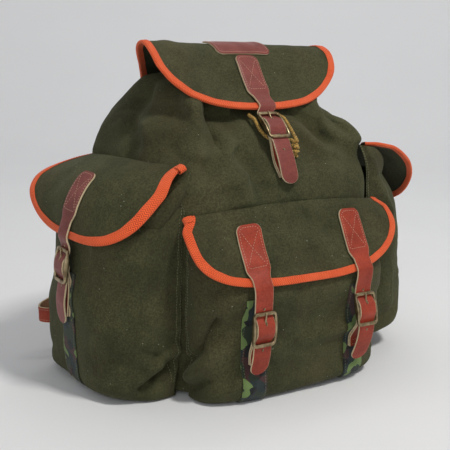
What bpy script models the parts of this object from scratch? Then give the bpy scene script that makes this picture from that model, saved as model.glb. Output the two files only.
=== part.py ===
"""Canvas rucksack with a front pocket, two side pockets, four flaps and leather closing straps.

Units are metres, +Z is up, the front of the bag faces -Y and X = 0 is its middle plane.
The bag stands on the flat middle of its base, with the origin in the middle of that face.
"""
import functools
import math

import bmesh
import bpy
import numpy as np

# Driving dimensions
GAP = 0.0003
CANVAS = 0.0020
FLAP_CLOTH = 0.0018
BINDING_CLOTH = 0.0009
BINDING_DEPTH = 0.0085
LEATHER = 0.0023
BILLET_LEATHER = 0.0020
WEBBING = 0.0012
WEBBING_WIDTH = 0.034
WEBBING_STANDOFF = 0.0008
WEBBING_ROWS = (2, 7)
STRAP_WIDTH = 0.025
HEAD_WIDTH = 0.034
HEAD_LENGTH = 0.054
HEAD_TAPER = 0.014
BUCKLE_WIDTH = 0.033
BUCKLE_LENGTH = 0.043
RAIL_WIDTH = 0.0032
END_BAR_WIDTH = 0.0045
END_BAR_LOW = 0.0006
END_BAR_HIGH = 0.0034
RAIL_ARCH = 0.0022
CENTRE_BAR_RADIUS = 0.0014
PRONG_RADIUS = 0.0010
HOLE_RADIUS = 0.0016
HOLE_SIDES = 6
CORD_RADIUS = 0.0024
CORD_STEP = 0.0110
SEAM_STEP = 0.0009
SEAM_CLEAR = 0.0022
STRAP_LIFT = 0.0010
STRAP_STEP = 0.012
STRAP_ROW = 0.018
STRAP_OVER_BINDING = 0.0008
PATCH_LIFT = 0.0004
PRONG_HOLE_UP = 0.0093
PRONG_HOLE_STRETCH = 2.9
BILLET_SPREAD = 0.0029
BILLET_LIFT = 0.0003
YOKE_LIFT = 0.0016

# Colours as red, green, blue, then roughness and metallic
CANVAS_FINISH = ("olive_canvas", (0.036, 0.040, 0.018), 0.90, 0.0)
BINDING_FINISH = ("orange_binding", (0.90, 0.13, 0.035), 0.75, 0.0)
LEATHER_FINISH = ("red_brown_leather", (0.20, 0.045, 0.028), 0.45, 0.0)
BRASS_FINISH = ("antique_brass", (0.22, 0.17, 0.09), 0.40, 1.0)
WEBBING_FINISH = ("camouflage_webbing", (0.045, 0.055, 0.030), 0.85, 0.0)
CORD_FINISH = ("yellow_cord", (0.42, 0.27, 0.07), 0.80, 0.0)

# Sack sections from the base up: height at the front and at the back, half width at the front and
# at the back, front and back reach, and the power that squares the corners
SACK_SECTIONS = (
    # z_front z_back half_front half_back y_front y_back power
    (0.000, 0.000, 0.122, 0.138, -0.080, 0.092, 4.0),
    (0.009, 0.009, 0.143, 0.162, -0.097, 0.108, 4.4),
    (0.032, 0.032, 0.157, 0.175, -0.107, 0.116, 5.0),
    (0.115, 0.115, 0.162, 0.180, -0.112, 0.119, 5.0),
    (0.205, 0.205, 0.162, 0.181, -0.114, 0.120, 5.0),
    (0.240, 0.240, 0.160, 0.183, -0.115, 0.120, 5.0),
    (0.262, 0.265, 0.158, 0.187, -0.109, 0.120, 4.8),
    (0.282, 0.290, 0.153, 0.188, -0.093, 0.119, 4.7),
    (0.301, 0.315, 0.150, 0.178, -0.075, 0.117, 4.6),
    (0.320, 0.342, 0.152, 0.157, -0.060, 0.113, 4.4),
    (0.337, 0.368, 0.120, 0.133, -0.050, 0.107, 4.4),
    (0.353, 0.386, 0.124, 0.108, -0.042, 0.100, 4.2),
)
WIDE_STEPS = 7
DEEP_STEPS = 6
SACK_COLUMNS = 4 * (WIDE_STEPS + DEEP_STEPS)
SACK_CORNERS = {
    (1, "front"): WIDE_STEPS, (1, "back"): WIDE_STEPS + 2 * DEEP_STEPS,
    (-1, "back"): 3 * WIDE_STEPS + 2 * DEEP_STEPS, (-1, "front"): 3 * WIDE_STEPS + 4 * DEEP_STEPS,
}
SEAM_FOOT = 0.032
HEM_DIP = 0.011
HEM_DIP_FROM = 0.300

# Folds of the sack: the face they lie on, two ends across and up that face, half width and height
SACK_FOLDS = (
    # face across_0 z_0 across_1 z_1 half_width height
    ("front", -0.085, 0.345, -0.070, 0.245, 0.016, 0.006),
    ("front", -0.055, 0.350, -0.050, 0.255, 0.011, -0.006),
    ("front", -0.035, 0.300, 0.030, 0.322, 0.014, 0.003),
    ("front", 0.062, 0.330, 0.070, 0.270, 0.016, 0.004),
    ("front", 0.092, 0.335, 0.080, 0.285, 0.010, -0.004),
    ("front", 0.122, 0.324, 0.132, 0.308, 0.016, 0.012),
    ("front", 0.125, 0.300, 0.130, 0.262, 0.015, 0.008),
    ("left", 0.055, 0.372, -0.005, 0.300, 0.014, -0.006),
    ("left", -0.020, 0.345, -0.035, 0.300, 0.012, 0.005),
    ("right", 0.020, 0.360, -0.020, 0.300, 0.014, -0.006),
    ("right", -0.035, 0.318, -0.020, 0.290, 0.016, 0.007),
    ("back", -0.060, 0.360, -0.050, 0.300, 0.014, -0.004),
    ("back", 0.070, 0.360, 0.060, 0.300, 0.014, -0.004),
)
GATHER_COUNT = 13
GATHER_DEPTH = 0.0035
GATHER_FADE = 0.050

# Pocket rows from the lower back edge round the bottom to the top: height, bulge in the middle and
# at the two seams, how far the ends are tucked in, and growth in width
FRONT_POCKET_ROWS = (
    # z bulge seam_bulge seam_tuck widen
    (0.0085, 0.005, 0.0000, 0.090, 0.000),
    (0.0055, 0.032, 0.0045, 0.045, 0.000),
    (0.0025, 0.056, 0.0090, 0.000, 0.014),
    (0.0125, 0.065, 0.0100, 0.000, 0.022),
    (0.0380, 0.063, 0.0050, 0.000, 0.028),
    (0.0920, 0.061, 0.0000, 0.000, 0.030),
    (0.1340, 0.066, 0.0000, 0.000, 0.030),
    (0.1600, 0.058, 0.0000, 0.000, 0.024),
    (0.1830, 0.045, 0.0000, 0.000, 0.016),
    (0.2060, 0.033, 0.0000, 0.000, 0.008),
)
LEFT_POCKET_ROWS = (
    (0.0090, 0.005, 0.0000, 0.090, 0.000),
    (0.0065, 0.052, 0.0050, 0.045, 0.050),
    (0.0025, 0.081, 0.0100, 0.000, 0.130),
    (0.0125, 0.096, 0.0110, 0.000, 0.150),
    (0.0420, 0.100, 0.0055, 0.000, 0.140),
    (0.0900, 0.099, 0.0000, 0.000, 0.120),
    (0.1500, 0.093, 0.0000, 0.000, 0.100),
    (0.1950, 0.088, 0.0000, 0.000, 0.080),
    (0.2300, 0.078, 0.0000, 0.000, 0.050),
    (0.2560, 0.058, 0.0000, 0.000, 0.030),
)
RIGHT_POCKET_ROWS = (
    (0.0290, 0.006, 0.0000, 0.090, 0.000),
    (0.0260, 0.054, 0.0050, 0.045, 0.030),
    (0.0215, 0.088, 0.0100, 0.000, 0.090),
    (0.0310, 0.106, 0.0110, 0.000, 0.120),
    (0.0580, 0.112, 0.0055, 0.000, 0.120),
    (0.1000, 0.108, 0.0000, 0.000, 0.110),
    (0.1550, 0.095, 0.0000, 0.000, 0.100),
    (0.1950, 0.087, 0.0000, 0.000, 0.080),
    (0.2300, 0.075, 0.0000, 0.000, 0.050),
    (0.2560, 0.055, 0.0000, 0.000, 0.030),
)
POCKET_ROWS = {"front": FRONT_POCKET_ROWS, "left": LEFT_POCKET_ROWS, "right": RIGHT_POCKET_ROWS}
POCKET_DROOP = {"left": 0.044}
DROOP_FROM = 0.170
FRONT_POCKET_POWER = 3.2
SIDE_POCKET_POWER = 2.9
POCKET_COLUMNS = 16

# Folds of the pockets: two ends as share of the width and height, half width and height
FRONT_POCKET_FOLDS = (
    # across_0 z_0 across_1 z_1 half_width height
    (-0.92, 0.020, -0.55, 0.085, 0.011, -0.007),
    (-0.70, 0.018, -0.35, 0.030, 0.016, 0.006),
    (-0.10, 0.060, 0.45, 0.085, 0.014, 0.004),
    (0.60, 0.090, 0.90, 0.050, 0.014, 0.005),
)
LEFT_POCKET_FOLDS = (
    (0.98, 0.045, 0.55, 0.020, 0.014, 0.008),
    (0.90, 0.025, 0.60, 0.004, 0.012, -0.007),
    (0.10, 0.120, 0.70, 0.060, 0.022, 0.005),
)
RIGHT_POCKET_FOLDS = (
    (0.95, 0.060, 0.55, 0.030, 0.014, 0.006),
    (0.45, 0.150, 0.60, 0.070, 0.018, -0.005),
)

# Flaps as three ribs each, from the seam to the free edge: how far out, and height. The flat
# pattern is cut straight at the seam and along its sides, and round at the free edge.
FLAPS = {
    "main": {
        "seam": "back", "centre": 0.001, "seam_lift": 0.0036,
        "half_width": 0.146, "back_half_width": 0.092, "widen_length": 0.135,
        "length": 0.262, "straight": 0.165, "power": 2.4, "drape": 2.2, "seam_fade": 0.06,
        "side_steps": (6, 2), "across_steps": 8,
        "middle": ((0.1215, 0.345), (0.118, 0.375), (0.103, 0.403), (0.075, 0.420), (0.045, 0.425),
                   (0.018, 0.420), (-0.001, 0.403), (-0.016, 0.382), (-0.033, 0.3615), (-0.0520, 0.3455)),
        "low_side": ((0.102, 0.366), (0.076, 0.379), (0.054, 0.390), (0.043, 0.403), (0.032, 0.417),
                     (0.013, 0.4255), (-0.008, 0.417), (-0.027, 0.397), (-0.043, 0.375), (-0.058, 0.351)),
        "high_side": ((0.100, 0.360), (0.088, 0.376), (0.068, 0.398), (0.048, 0.417), (0.027, 0.425),
                      (0.006, 0.420), (-0.008, 0.404), (-0.017, 0.386), (-0.024, 0.367), (-0.034, 0.350)),
    },
    "front": {
        "seam": "front", "centre": 0.003, "seam_lift": 0.0022,
        "half_width": 0.158, "back_half_width": 0.143, "widen_length": 0.035,
        "length": 0.112, "straight": 0.022, "power": 2.8, "drape": 2.8, "seam_fade": 0.02,
        "side_steps": (1, 4), "across_steps": 8,
        "middle": ((-0.1165, 0.236), (-0.126, 0.227), (-0.134, 0.209), (-0.144, 0.188),
                   (-0.156, 0.168), (-0.1675, 0.1470)),
        "low_side": ((-0.098, 0.222), (-0.112, 0.212), (-0.127, 0.193), (-0.140, 0.173),
                     (-0.151, 0.152), (-0.161, 0.130)),
        "high_side": ((-0.098, 0.224), (-0.112, 0.218), (-0.128, 0.205), (-0.141, 0.190),
                      (-0.152, 0.176), (-0.163, 0.162)),
    },
    "left": {
        "seam": "left", "centre": 0.016, "seam_lift": 0.0026,
        "half_width": 0.117, "back_half_width": 0.101, "widen_length": 0.070,
        "length": 0.152, "straight": 0.050, "power": 2.8, "drape": 2.4, "seam_fade": 0.05,
        "side_steps": (2, 3), "across_steps": 8,
        "middle": ((-0.168, 0.284), (-0.192, 0.279), (-0.215, 0.268), (-0.232, 0.249),
                   (-0.243, 0.225), (-0.251, 0.193)),
        "low_side": ((-0.136, 0.283), (-0.163, 0.259), (-0.188, 0.233), (-0.208, 0.207),
                     (-0.225, 0.185), (-0.240, 0.166)),
        "high_side": ((-0.166, 0.270), (-0.192, 0.265), (-0.219, 0.257), (-0.241, 0.245),
                      (-0.256, 0.229), (-0.264, 0.209)),
    },
    "right": {
        "seam": "right", "centre": 0.014, "seam_lift": 0.0022,
        "half_width": 0.111, "back_half_width": 0.100, "widen_length": 0.070,
        "length": 0.158, "straight": 0.045, "power": 2.5, "drape": 2.2, "seam_fade": 0.05,
        "side_steps": (2, 3), "across_steps": 8,
        "middle": ((0.168, 0.286), (0.192, 0.287), (0.217, 0.279), (0.239, 0.259),
                   (0.255, 0.235), (0.265, 0.202)),
        "low_side": ((0.134, 0.303), (0.160, 0.299), (0.188, 0.292), (0.214, 0.279),
                     (0.236, 0.262), (0.252, 0.240)),
        "high_side": ((0.166, 0.274), (0.192, 0.273), (0.219, 0.265), (0.243, 0.251),
                      (0.261, 0.236), (0.272, 0.214)),
    },
}

# Closing straps: the flap each one is sewn to, its place across that flap and where its head
# begins; the middle of the buckle as reach and height, its lean and sideways drift; the tail below the
# buckle; the heights where the billet's end is sewn down; and the spare holes from the centre bar
STRAPS = {
    "main": {
        "flap": "main", "across": 0.002, "head_at": 0.1750, "out": (0.0, -1.0),
        "buckle": (0.0752, 0.3262), "lean": 48.0, "drift": -0.005,
        "tail": ((0.1060, 0.2850), (0.1170, 0.2590)),
        "sewn_at": (0.284, 0.266), "holes": (0.016, 0.038),
    },
    "front_left": {
        "flap": "front", "across": -0.077, "head_at": 0.026, "out": (0.0, -1.0),
        "buckle": (0.1720, 0.0990), "lean": 0.0, "drift": 0.0,
        "tail": ((0.1690, 0.0620), (0.1625, 0.0400)),
        "sewn_at": (0.066, 0.053), "holes": (-0.026, 0.028),
    },
    "front_right": {
        "flap": "front", "across": 0.078, "head_at": 0.020, "out": (0.0, -1.0),
        "buckle": (0.1745, 0.1020), "lean": 14.0, "drift": 0.0,
        "tail": ((0.1750, 0.0590), (0.1640, 0.0330)),
        "sewn_at": (0.064, 0.050), "holes": (-0.026, 0.028),
    },
    "left": {
        "flap": "left", "across": 0.0, "head_at": 0.058, "out": (-1.0, 0.0),
        "buckle": (0.2555, 0.1585), "lean": 6.0, "drift": 0.0,
        "tail": ((0.2594, 0.1130), (0.2566, 0.0860)),
        "sewn_at": (0.112, 0.096), "holes": (-0.026, 0.028),
    },
    "right": {
        "flap": "right", "across": 0.0, "head_at": 0.058, "out": (1.0, 0.0),
        "buckle": (0.2665, 0.1600), "lean": 4.0, "drift": 0.0,
        "tail": ((0.2690, 0.1130), (0.2660, 0.0860)),
        "sewn_at": (0.112, 0.096), "holes": (-0.026, 0.028),
    },
}

# Drawcord: where it leaves the hem as place across and height, then its two hanging strands
CORD_EXITS = {"drawcord": (-0.0215, 0.338), "drawcord_end": (0.0230, 0.338)}
CORD_ROUTES = {
    "drawcord": ((-0.0212, -0.0600, 0.3330), (-0.0190, -0.0680, 0.3220), (-0.0145, -0.0745, 0.3140),
                 (-0.0070, -0.0785, 0.3095), (0.0040, -0.0780, 0.3082), (0.0158, -0.0788, 0.3078),
                 (0.0198, -0.0855, 0.3078), (0.0194, -0.0893, 0.3062)),
    "drawcord_end": ((0.0245, -0.0600, 0.3335), (0.0264, -0.0690, 0.3240), (0.0266, -0.0785, 0.3150),
                     (0.0253, -0.0868, 0.3088), (0.0249, -0.0892, 0.3062)),
}
CORD_KNOT = (0.0221, -0.0894, 0.2965)
KNOT_RADIUS = 0.0046
KNOT_STRETCH = 1.9


def make_material(finish):
    """Plain material with one colour, roughness and metallic value."""
    name, colour, roughness, metallic = finish
    material = bpy.data.materials.get(name)
    if material is None:
        material = bpy.data.materials.new(name)
        material.use_nodes = True
        shader = material.node_tree.nodes["Principled BSDF"]
        shader.inputs["Base Color"].default_value = (*colour, 1.0)
        shader.inputs["Roughness"].default_value = roughness
        shader.inputs["Metallic"].default_value = metallic
    return material


def add_object(name, points, faces, finish, weld=False):
    """Object made of the given points and faces, with its faces turned outward."""
    shape = bmesh.new()
    corners = [shape.verts.new(tuple(map(float, point))) for point in points]
    for face in faces:
        shape.faces.new([corners[index] for index in face])
    if weld:
        bmesh.ops.remove_doubles(shape, verts=shape.verts, dist=1e-6)
        bmesh.ops.dissolve_degenerate(shape, edges=shape.edges, dist=1e-6)
    bmesh.ops.recalc_face_normals(shape, faces=shape.faces)
    mesh = bpy.data.meshes.new(name)
    shape.to_mesh(mesh)
    shape.free()
    mesh.shade_smooth()
    mesh.set_sharp_from_angle(angle=math.radians(40))
    piece = bpy.data.objects.new(name, mesh)
    piece.data.materials.append(make_material(finish))
    bpy.context.scene.collection.objects.link(piece)
    return piece


def unit(vectors):
    """Vectors scaled to length one."""
    vectors = np.asarray(vectors, float)
    return vectors / np.maximum(np.linalg.norm(vectors, axis=-1, keepdims=True), 1e-12)


def smooth_curve(points, per_span=12):
    """Points along a smooth curve through the given ones."""
    points = np.asarray(points, float)
    steps = np.linalg.norm(np.diff(points, axis=0), axis=1)
    at = np.concatenate([[0.0], np.cumsum(steps)])
    slopes = np.empty_like(points)
    slopes[1:-1] = (points[2:] - points[:-2]) / (at[2:] - at[:-2])[:, None]
    slopes[0] = (points[1] - points[0]) / steps[0]
    slopes[-1] = (points[-1] - points[-2]) / steps[-1]
    curve = []
    for index, step in enumerate(steps):
        t = np.arange(per_span)[:, None] / per_span
        curve.append((2 * t**3 - 3 * t**2 + 1) * points[index] + (3 * t**2 - 2 * t**3) * points[index + 1]
                     + (t**3 - 2 * t**2 + t) * step * slopes[index]
                     + (t**3 - t**2) * step * slopes[index + 1])
    return np.vstack(curve + [points[-1:]])


def lengths_along(curve):
    """Distance of each point of a curve from its start."""
    return np.concatenate([[0.0], np.cumsum(np.linalg.norm(np.diff(curve, axis=0), axis=1))])


def at_lengths(curve, wanted):
    """Points of a curve at the wanted distances from its start."""
    along = lengths_along(curve)
    return np.stack([np.interp(wanted, along, curve[:, axis]) for axis in range(curve.shape[1])], axis=-1)


def ridge(across, up, fold):
    """Height at a place, given by one row of a fold table without its face."""
    across_0, up_0, across_1, up_1, half_width, height = fold
    run = np.array([across_1 - across_0, up_1 - up_0])
    share = ((across - across_0) * run[0] + (up - up_0) * run[1]) / (run @ run)
    share = np.clip(share, 0.0, 1.0)
    away = np.hypot(across - across_0 - share * run[0], up - up_0 - share * run[1])
    return height * np.exp(-(away / half_width) ** 2)


def sack_section(row, inset=0.0):
    """One ring round the sack, evenly spaced, starting in the middle of the front."""
    z_front, z_back, half_front, half_back, y_front, y_back, power = row
    middle = 0.5 * (y_front + y_back)
    reach = 0.5 * (y_back - y_front) - inset
    turn = np.linspace(0.0, 2.0 * math.pi, 721)
    sideways, forward = np.sin(turn), -np.cos(turn)
    y = middle + reach * np.sign(forward) * np.abs(forward) ** (2.0 / power)
    share = (y - y_front) / (y_back - y_front)
    half = half_front + (half_back - half_front) * share - inset
    x = half * np.sign(sideways) * np.abs(sideways) ** (2.0 / power)
    dip = HEM_DIP * max(0.0, (z_front - HEM_DIP_FROM) / (SACK_SECTIONS[-1][0] - HEM_DIP_FROM)) ** 2
    sag = dip * (1.0 - share) ** 2 * np.clip(1.0 - (x / half) ** 2, 0.0, 1.0)
    z = z_front + (z_back - z_front) * share - sag
    ring = np.stack([x, y, z], axis=1)
    arcs = []
    for octant in range(8):
        arc = ring[octant * 90:(octant + 1) * 90 + 1]
        steps = WIDE_STEPS if octant in (0, 3, 4, 7) else DEEP_STEPS
        arcs.append(at_lengths(arc, np.arange(steps) / steps * lengths_along(arc)[-1]))
    return np.vstack(arcs)


def ring_normals(ring):
    """Level outward directions at the points of a ring that runs from the front to +X."""
    run = np.roll(ring, -1, axis=0) - np.roll(ring, 1, axis=0)
    return unit(np.stack([run[:, 1], -run[:, 0], np.zeros(len(ring))], axis=1))


def sack_relief(ring, normals):
    """How far folds and gathers push each point of a ring outward."""
    push = np.zeros(len(ring))
    facing = {"front": -normals[:, 1], "back": normals[:, 1], "left": -normals[:, 0], "right": normals[:, 0]}
    for face, *fold in SACK_FOLDS:
        across = ring[:, 0] if face in ("front", "back") else ring[:, 1]
        push += np.clip(facing[face], 0.0, 1.0) ** 0.5 * ridge(across, ring[:, 2], fold)
    hem_height = np.interp(ring[:, 1], (SACK_SECTIONS[-1][4], SACK_SECTIONS[-1][5]), SACK_SECTIONS[-1][:2])
    near_hem = np.clip(1.0 - (hem_height - ring[:, 2]) / GATHER_FADE, 0.0, 1.0)
    turn = np.arange(len(ring)) / len(ring)
    pleats = np.cos(2.0 * math.pi * (GATHER_COUNT * turn + 0.35 * np.sin(4.0 * math.pi * turn)))
    return push + GATHER_DEPTH * near_hem**1.5 * pleats


@functools.lru_cache(maxsize=None)
def sack_surface():
    """Rings of the outer and the inner face of the sack, from the base up."""
    outer, inner = [], []
    for row in SACK_SECTIONS:
        ring = sack_section(row)
        normals = ring_normals(ring)
        push = normals * sack_relief(ring, normals)[:, None]
        outer.append(ring + push)
        inner.append(sack_section(row, CANVAS) + push)
    outer, inner = np.array(outer), np.array(inner)
    inner[:, :, 2] = np.maximum(inner[:, :, 2], CANVAS)
    inner[0, :, :2] = 0.985 * inner[0, :, :2]
    return outer, inner


def build_sack():
    """Main bag: one hollow canvas body with a flat base and an open gathered mouth."""
    outer, inner = sack_surface()
    rows, columns = outer.shape[:2]
    points = np.vstack([outer.reshape(-1, 3), inner.reshape(-1, 3)])
    inside = rows * columns
    faces = []
    for row in range(rows - 1):
        for column in range(columns):
            here = row * columns + column
            there = row * columns + (column + 1) % columns
            faces.append((here, there, there + columns, here + columns))
            faces.append((inside + here, inside + here + columns, inside + there + columns, inside + there))
    hem = (rows - 1) * columns
    for column in range(columns):
        after = (column + 1) % columns
        faces.append((hem + column, hem + after, inside + hem + after, inside + hem + column))
    faces.append(tuple(range(columns - 1, -1, -1)))
    faces.append(tuple(inside + column for column in range(columns)))
    return add_object("sack", points, faces, CANVAS_FINISH)


def corner_at(height, side, end):
    """Seam point on a corner of the sack: side is -1 or 1 in X, end is "front" or "back"."""
    line = sack_surface()[0][:, SACK_CORNERS[side, end]]
    x, y = (np.interp(height, line[:, 2], line[:, axis]) for axis in (0, 1))
    return np.array([x, y, height])


def sack_at(face, across, height):
    """Reach of the sack's outer surface at places across and up one of its four sides."""
    across, height = np.broadcast_arrays(np.asarray(across, float), np.asarray(height, float))
    starts = {"front": (-1, "front"), "right": (1, "front"), "back": (1, "back"), "left": (-1, "back")}
    side, end = starts[face]
    steps = 2 * (WIDE_STEPS if face in ("front", "back") else DEEP_STEPS)
    columns = (SACK_CORNERS[side, end] + np.arange(steps + 1)) % SACK_COLUMNS
    axis = 0 if face in ("front", "back") else 1
    heights, reaches = [], []
    for ring in sack_surface()[0]:
        side = ring[columns]
        side = side[np.argsort(side[:, axis])]
        heights.append(np.interp(across, side[:, axis], side[:, 2]))
        reaches.append(np.interp(across, side[:, axis], side[:, 1 - axis]))
    heights, reaches = np.array(heights), np.array(reaches)
    above = np.clip((heights < height).sum(axis=0), 1, len(heights) - 1)[None]
    low, high = (np.take_along_axis(heights, above + step, axis=0)[0] for step in (-1, 0))
    share = np.clip((height - low) / (high - low), 0.0, 1.0)
    near, far = (np.take_along_axis(reaches, above + step, axis=0)[0] for step in (-1, 0))
    return near + (far - near) * share


def halves(quad):
    """Two triangles of a quad, split from its first corner."""
    return [(quad[0], quad[1], quad[2]), (quad[0], quad[2], quad[3])]


def pocket_surface(kind, across, rows, inset=0.0):
    """Points of a pocket's wall, set in from its outer face: across runs from -1 to 1 between the seams."""
    folds = {"front": FRONT_POCKET_FOLDS, "left": LEFT_POCKET_FOLDS, "right": RIGHT_POCKET_FOLDS}[kind]
    power = FRONT_POCKET_POWER if kind == "front" else SIDE_POCKET_POWER
    turn = math.pi * (across + 1.0) / 2.0
    along = -np.sign(np.cos(turn)) * np.abs(np.cos(turn)) ** (2.0 / power)
    bulge_share = np.abs(np.sin(turn)) ** (2.0 / power)
    droop = POCKET_DROOP.get(kind, 0.0)
    front_share = np.clip((along - 0.15) / 0.7, 0.0, 1.0) ** 1.3 * np.clip(0.2 + 1.5 * bulge_share, 0.0, 1.0)
    run = unit(np.gradient(np.array([(bulge, height) for height, bulge, *_ in rows]), axis=0))
    grid = []
    for (height, bulge, seam_bulge, tuck, widen), (sinking, facing) in zip(rows, run):
        bulge -= inset * facing
        foot = max(height, SEAM_FOOT)
        if kind == "front":
            start, end = corner_at(foot, -1, "front"), corner_at(foot, 1, "front")
            start += (SEAM_STEP, -SEAM_STEP, 0.0)
            end += (-SEAM_STEP, -SEAM_STEP, 0.0)
            out = np.array([0.0, -1.0, 0.0])
        else:
            side = -1 if kind == "left" else 1
            start, end = corner_at(foot, side, "back"), corner_at(foot, side, "front")
            start += (side * SEAM_STEP, -SEAM_STEP, 0.0)
            end += (side * 2.0 * SEAM_STEP, SEAM_STEP, 0.0)
            out = np.array([side, 0.0, 0.0])
        centre, half = 0.5 * (start + end), 0.5 * (end - start)
        half *= 1.0 - inset * max(0.0, facing) / np.linalg.norm(half)
        reach = np.linalg.norm(half)
        relief = sum(ridge(across * reach, height, (fold[0] * reach, fold[1], fold[2] * reach, *fold[3:]))
                     for fold in folds) * bulge_share
        place = centre + (along * (1.0 - tuck + widen * bulge_share))[:, None] * half
        place += (seam_bulge + (bulge - seam_bulge) * bulge_share + relief)[:, None] * out
        top_share = max(0.0, (height - DROOP_FROM) / (rows[-1][0] - DROOP_FROM))
        place[:, 2] = height + inset * sinking - droop * top_share * front_share
        axis = 1 if kind == "front" else 0
        wall = sack_at(kind, place[:, 1 - axis], place[:, 2]) * out[axis]
        clear = CANVAS * max(0.0, facing) - inset * facing
        clear = wall + SEAM_CLEAR + clear * np.clip(3.0 * bulge_share, 0.0, 1.0)
        place[:, axis] = np.maximum(place[:, axis] * out[axis], clear) * out[axis]
        grid.append(place)
    return np.array(grid)


def grid_normals(grid, outward):
    """Unit normals of a grid of points, turned towards the outward direction."""
    along = np.gradient(grid, axis=1)
    up = np.gradient(grid, axis=0)
    normals = unit(np.cross(along, up))
    if (normals.reshape(-1, 3) @ np.asarray(outward, float)).mean() < 0:
        normals = -normals
    return normals


def add_thick_patch(name, face, back, finish, rims=("start", "end", "low", "high"), weld=False):
    """Closed body between two grids of the same size, with the named rims."""
    rows, columns = face.shape[:2]
    points = np.vstack([face.reshape(-1, 3), back.reshape(-1, 3)])
    behind = rows * columns
    faces = []
    for row in range(rows - 1):
        for column in range(columns - 1):
            here = row * columns + column
            front = halves((here, here + 1, here + columns + 1, here + columns))
            faces.extend(front)
            faces.extend(tuple(behind + corner for corner in half[::-1]) for half in front)
    for row in range(rows - 1):
        start, end = row * columns, row * columns + columns - 1
        if "start" in rims:
            faces.append((start, start + columns, behind + start + columns, behind + start))
        if "end" in rims:
            faces.append((end, behind + end, behind + end + columns, end + columns))
    last = (rows - 1) * columns
    for column in range(columns - 1):
        if "low" in rims:
            faces.append((column, behind + column, behind + column + 1, column + 1))
        if "high" in rims:
            corner, beyond = last + column, behind + last + column
            faces.append((corner, corner + 1, beyond + 1, beyond))
    return add_object(name, points, faces, finish, weld)


def build_pocket(kind):
    """Pocket: a bulged canvas shell, open at the top and towards the sack."""
    across = np.linspace(-1.0, 1.0, POCKET_COLUMNS + 1)
    face = pocket_surface(kind, across, POCKET_ROWS[kind])
    back = pocket_surface(kind, across, POCKET_ROWS[kind], CANVAS)
    return add_thick_patch(kind + "_pocket", face, back, CANVAS_FINISH)


def flap_half_width(flap, b):
    """Half width of the flat flap at a distance b from its seam, up to the round part."""
    share = min(b / flap["widen_length"], 1.0)
    grown = share * share * (3.0 - 2.0 * share)
    return flap["back_half_width"] + (flap["half_width"] - flap["back_half_width"]) * grown


def rib_at(rib, share):
    """Points at shares of a rib's length."""
    curve = smooth_curve(rib)
    return at_lengths(curve, share * lengths_along(curve)[-1])


def flap_points(flap, a, b):
    """Points of a flap's middle surface at the places a, b of its flat pattern."""
    a, b = np.broadcast_arrays(np.asarray(a, float), np.asarray(b, float))
    share = np.clip(b / flap["length"], 0.0, 1.0)
    blend = (np.clip(np.abs(a) / flap["half_width"], 0.0, 1.0) ** flap["drape"])[..., None]
    side = np.where((a < 0)[..., None], rib_at(flap["low_side"], share), rib_at(flap["high_side"], share))
    place = (1.0 - blend) * rib_at(flap["middle"], share) + blend * side
    out, height, across = place[..., 0].copy(), place[..., 1], a + flap["centre"]
    fade = np.clip(1.0 - b / flap["seam_fade"], 0.0, 1.0) ** 2
    side_0 = np.where((a < 0)[..., None], np.array(flap["low_side"][0]), np.array(flap["high_side"][0]))
    at_seam = (1.0 - blend) * np.array(flap["middle"][0]) + blend * side_0
    lift = GAP + 0.5 * FLAP_CLOTH + flap["seam_lift"]
    sign = 1.0 if flap["seam"] in ("back", "right") else -1.0
    seat = sack_at(flap["seam"], across, at_seam[..., 1]) + sign * lift
    out += fade * (seat - at_seam[..., 0])
    if flap["seam"] in ("front", "back"):
        return np.stack([across, out, height], axis=-1)
    return np.stack([out, across, height], axis=-1)


def flap_frame(flap, a, b):
    """Points, unit normals and sideways directions of a flap at places of its flat pattern."""
    step = 0.0015
    a, b = np.broadcast_arrays(np.asarray(a, float), np.asarray(b, float))
    inside = np.clip(b, step, flap["length"] - step)
    across = unit(flap_points(flap, a + step, inside) - flap_points(flap, a - step, inside))
    down = flap_points(flap, a, inside + step) - flap_points(flap, a, inside - step)
    normal = unit(np.cross(across, down))
    return flap_points(flap, a, b), normal if flap["seam"] == "left" else -normal, across


def flap_outline(flap):
    """Flat outline from one end of the seam round to the other, and the same set in by the binding."""
    straight, length, power = flap["straight"], flap["length"], flap["power"]
    straight_steps, arc_steps = flap["side_steps"]
    half_across = flap["across_steps"] // 2
    half = [(flap_half_width(flap, straight * step / straight_steps), straight * step / straight_steps)
            for step in range(straight_steps)]
    for turns in (np.linspace(0.0, 45.0, arc_steps + 1)[:-1], np.linspace(45.0, 90.0, half_across + 1)):
        for turn in np.radians(turns):
            half.append((flap["half_width"] * max(math.cos(turn), 0.0) ** (2.0 / power),
                         straight + (length - straight) * math.sin(turn) ** (2.0 / power)))
    half = np.array(half)
    outline = np.vstack([half * (-1.0, 1.0), half[-2::-1]])
    run = unit(np.gradient(outline, axis=0))
    inward = np.stack([run[:, 1], -run[:, 0]], axis=1)
    inward[[0, -1]] = ((1.0, 0.0), (-1.0, 0.0))
    return outline, outline + BINDING_DEPTH * inward


def flap_pattern(flap):
    """Rows of flat places inside the binding: a grid that fills the set-in outline."""
    _, inset = flap_outline(flap)
    down, across = sum(flap["side_steps"]), flap["across_steps"]
    left, right = inset[:down + 1], inset[::-1][:down + 1]
    bottom = inset[down:down + across + 1]
    grid = np.zeros((down + 1, across + 1, 2))
    for row in range(down + 1):
        t = row / down
        for column in range(across + 1):
            s = column / across
            top = (1.0 - s) * left[0] + s * right[0]
            grid[row, column] = ((1.0 - t) * top + t * bottom[column] + (1.0 - s) * left[row] + s * right[row]
                                 - (1.0 - t) * top - t * ((1.0 - s) * bottom[0] + s * bottom[-1]))
    return grid


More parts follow.
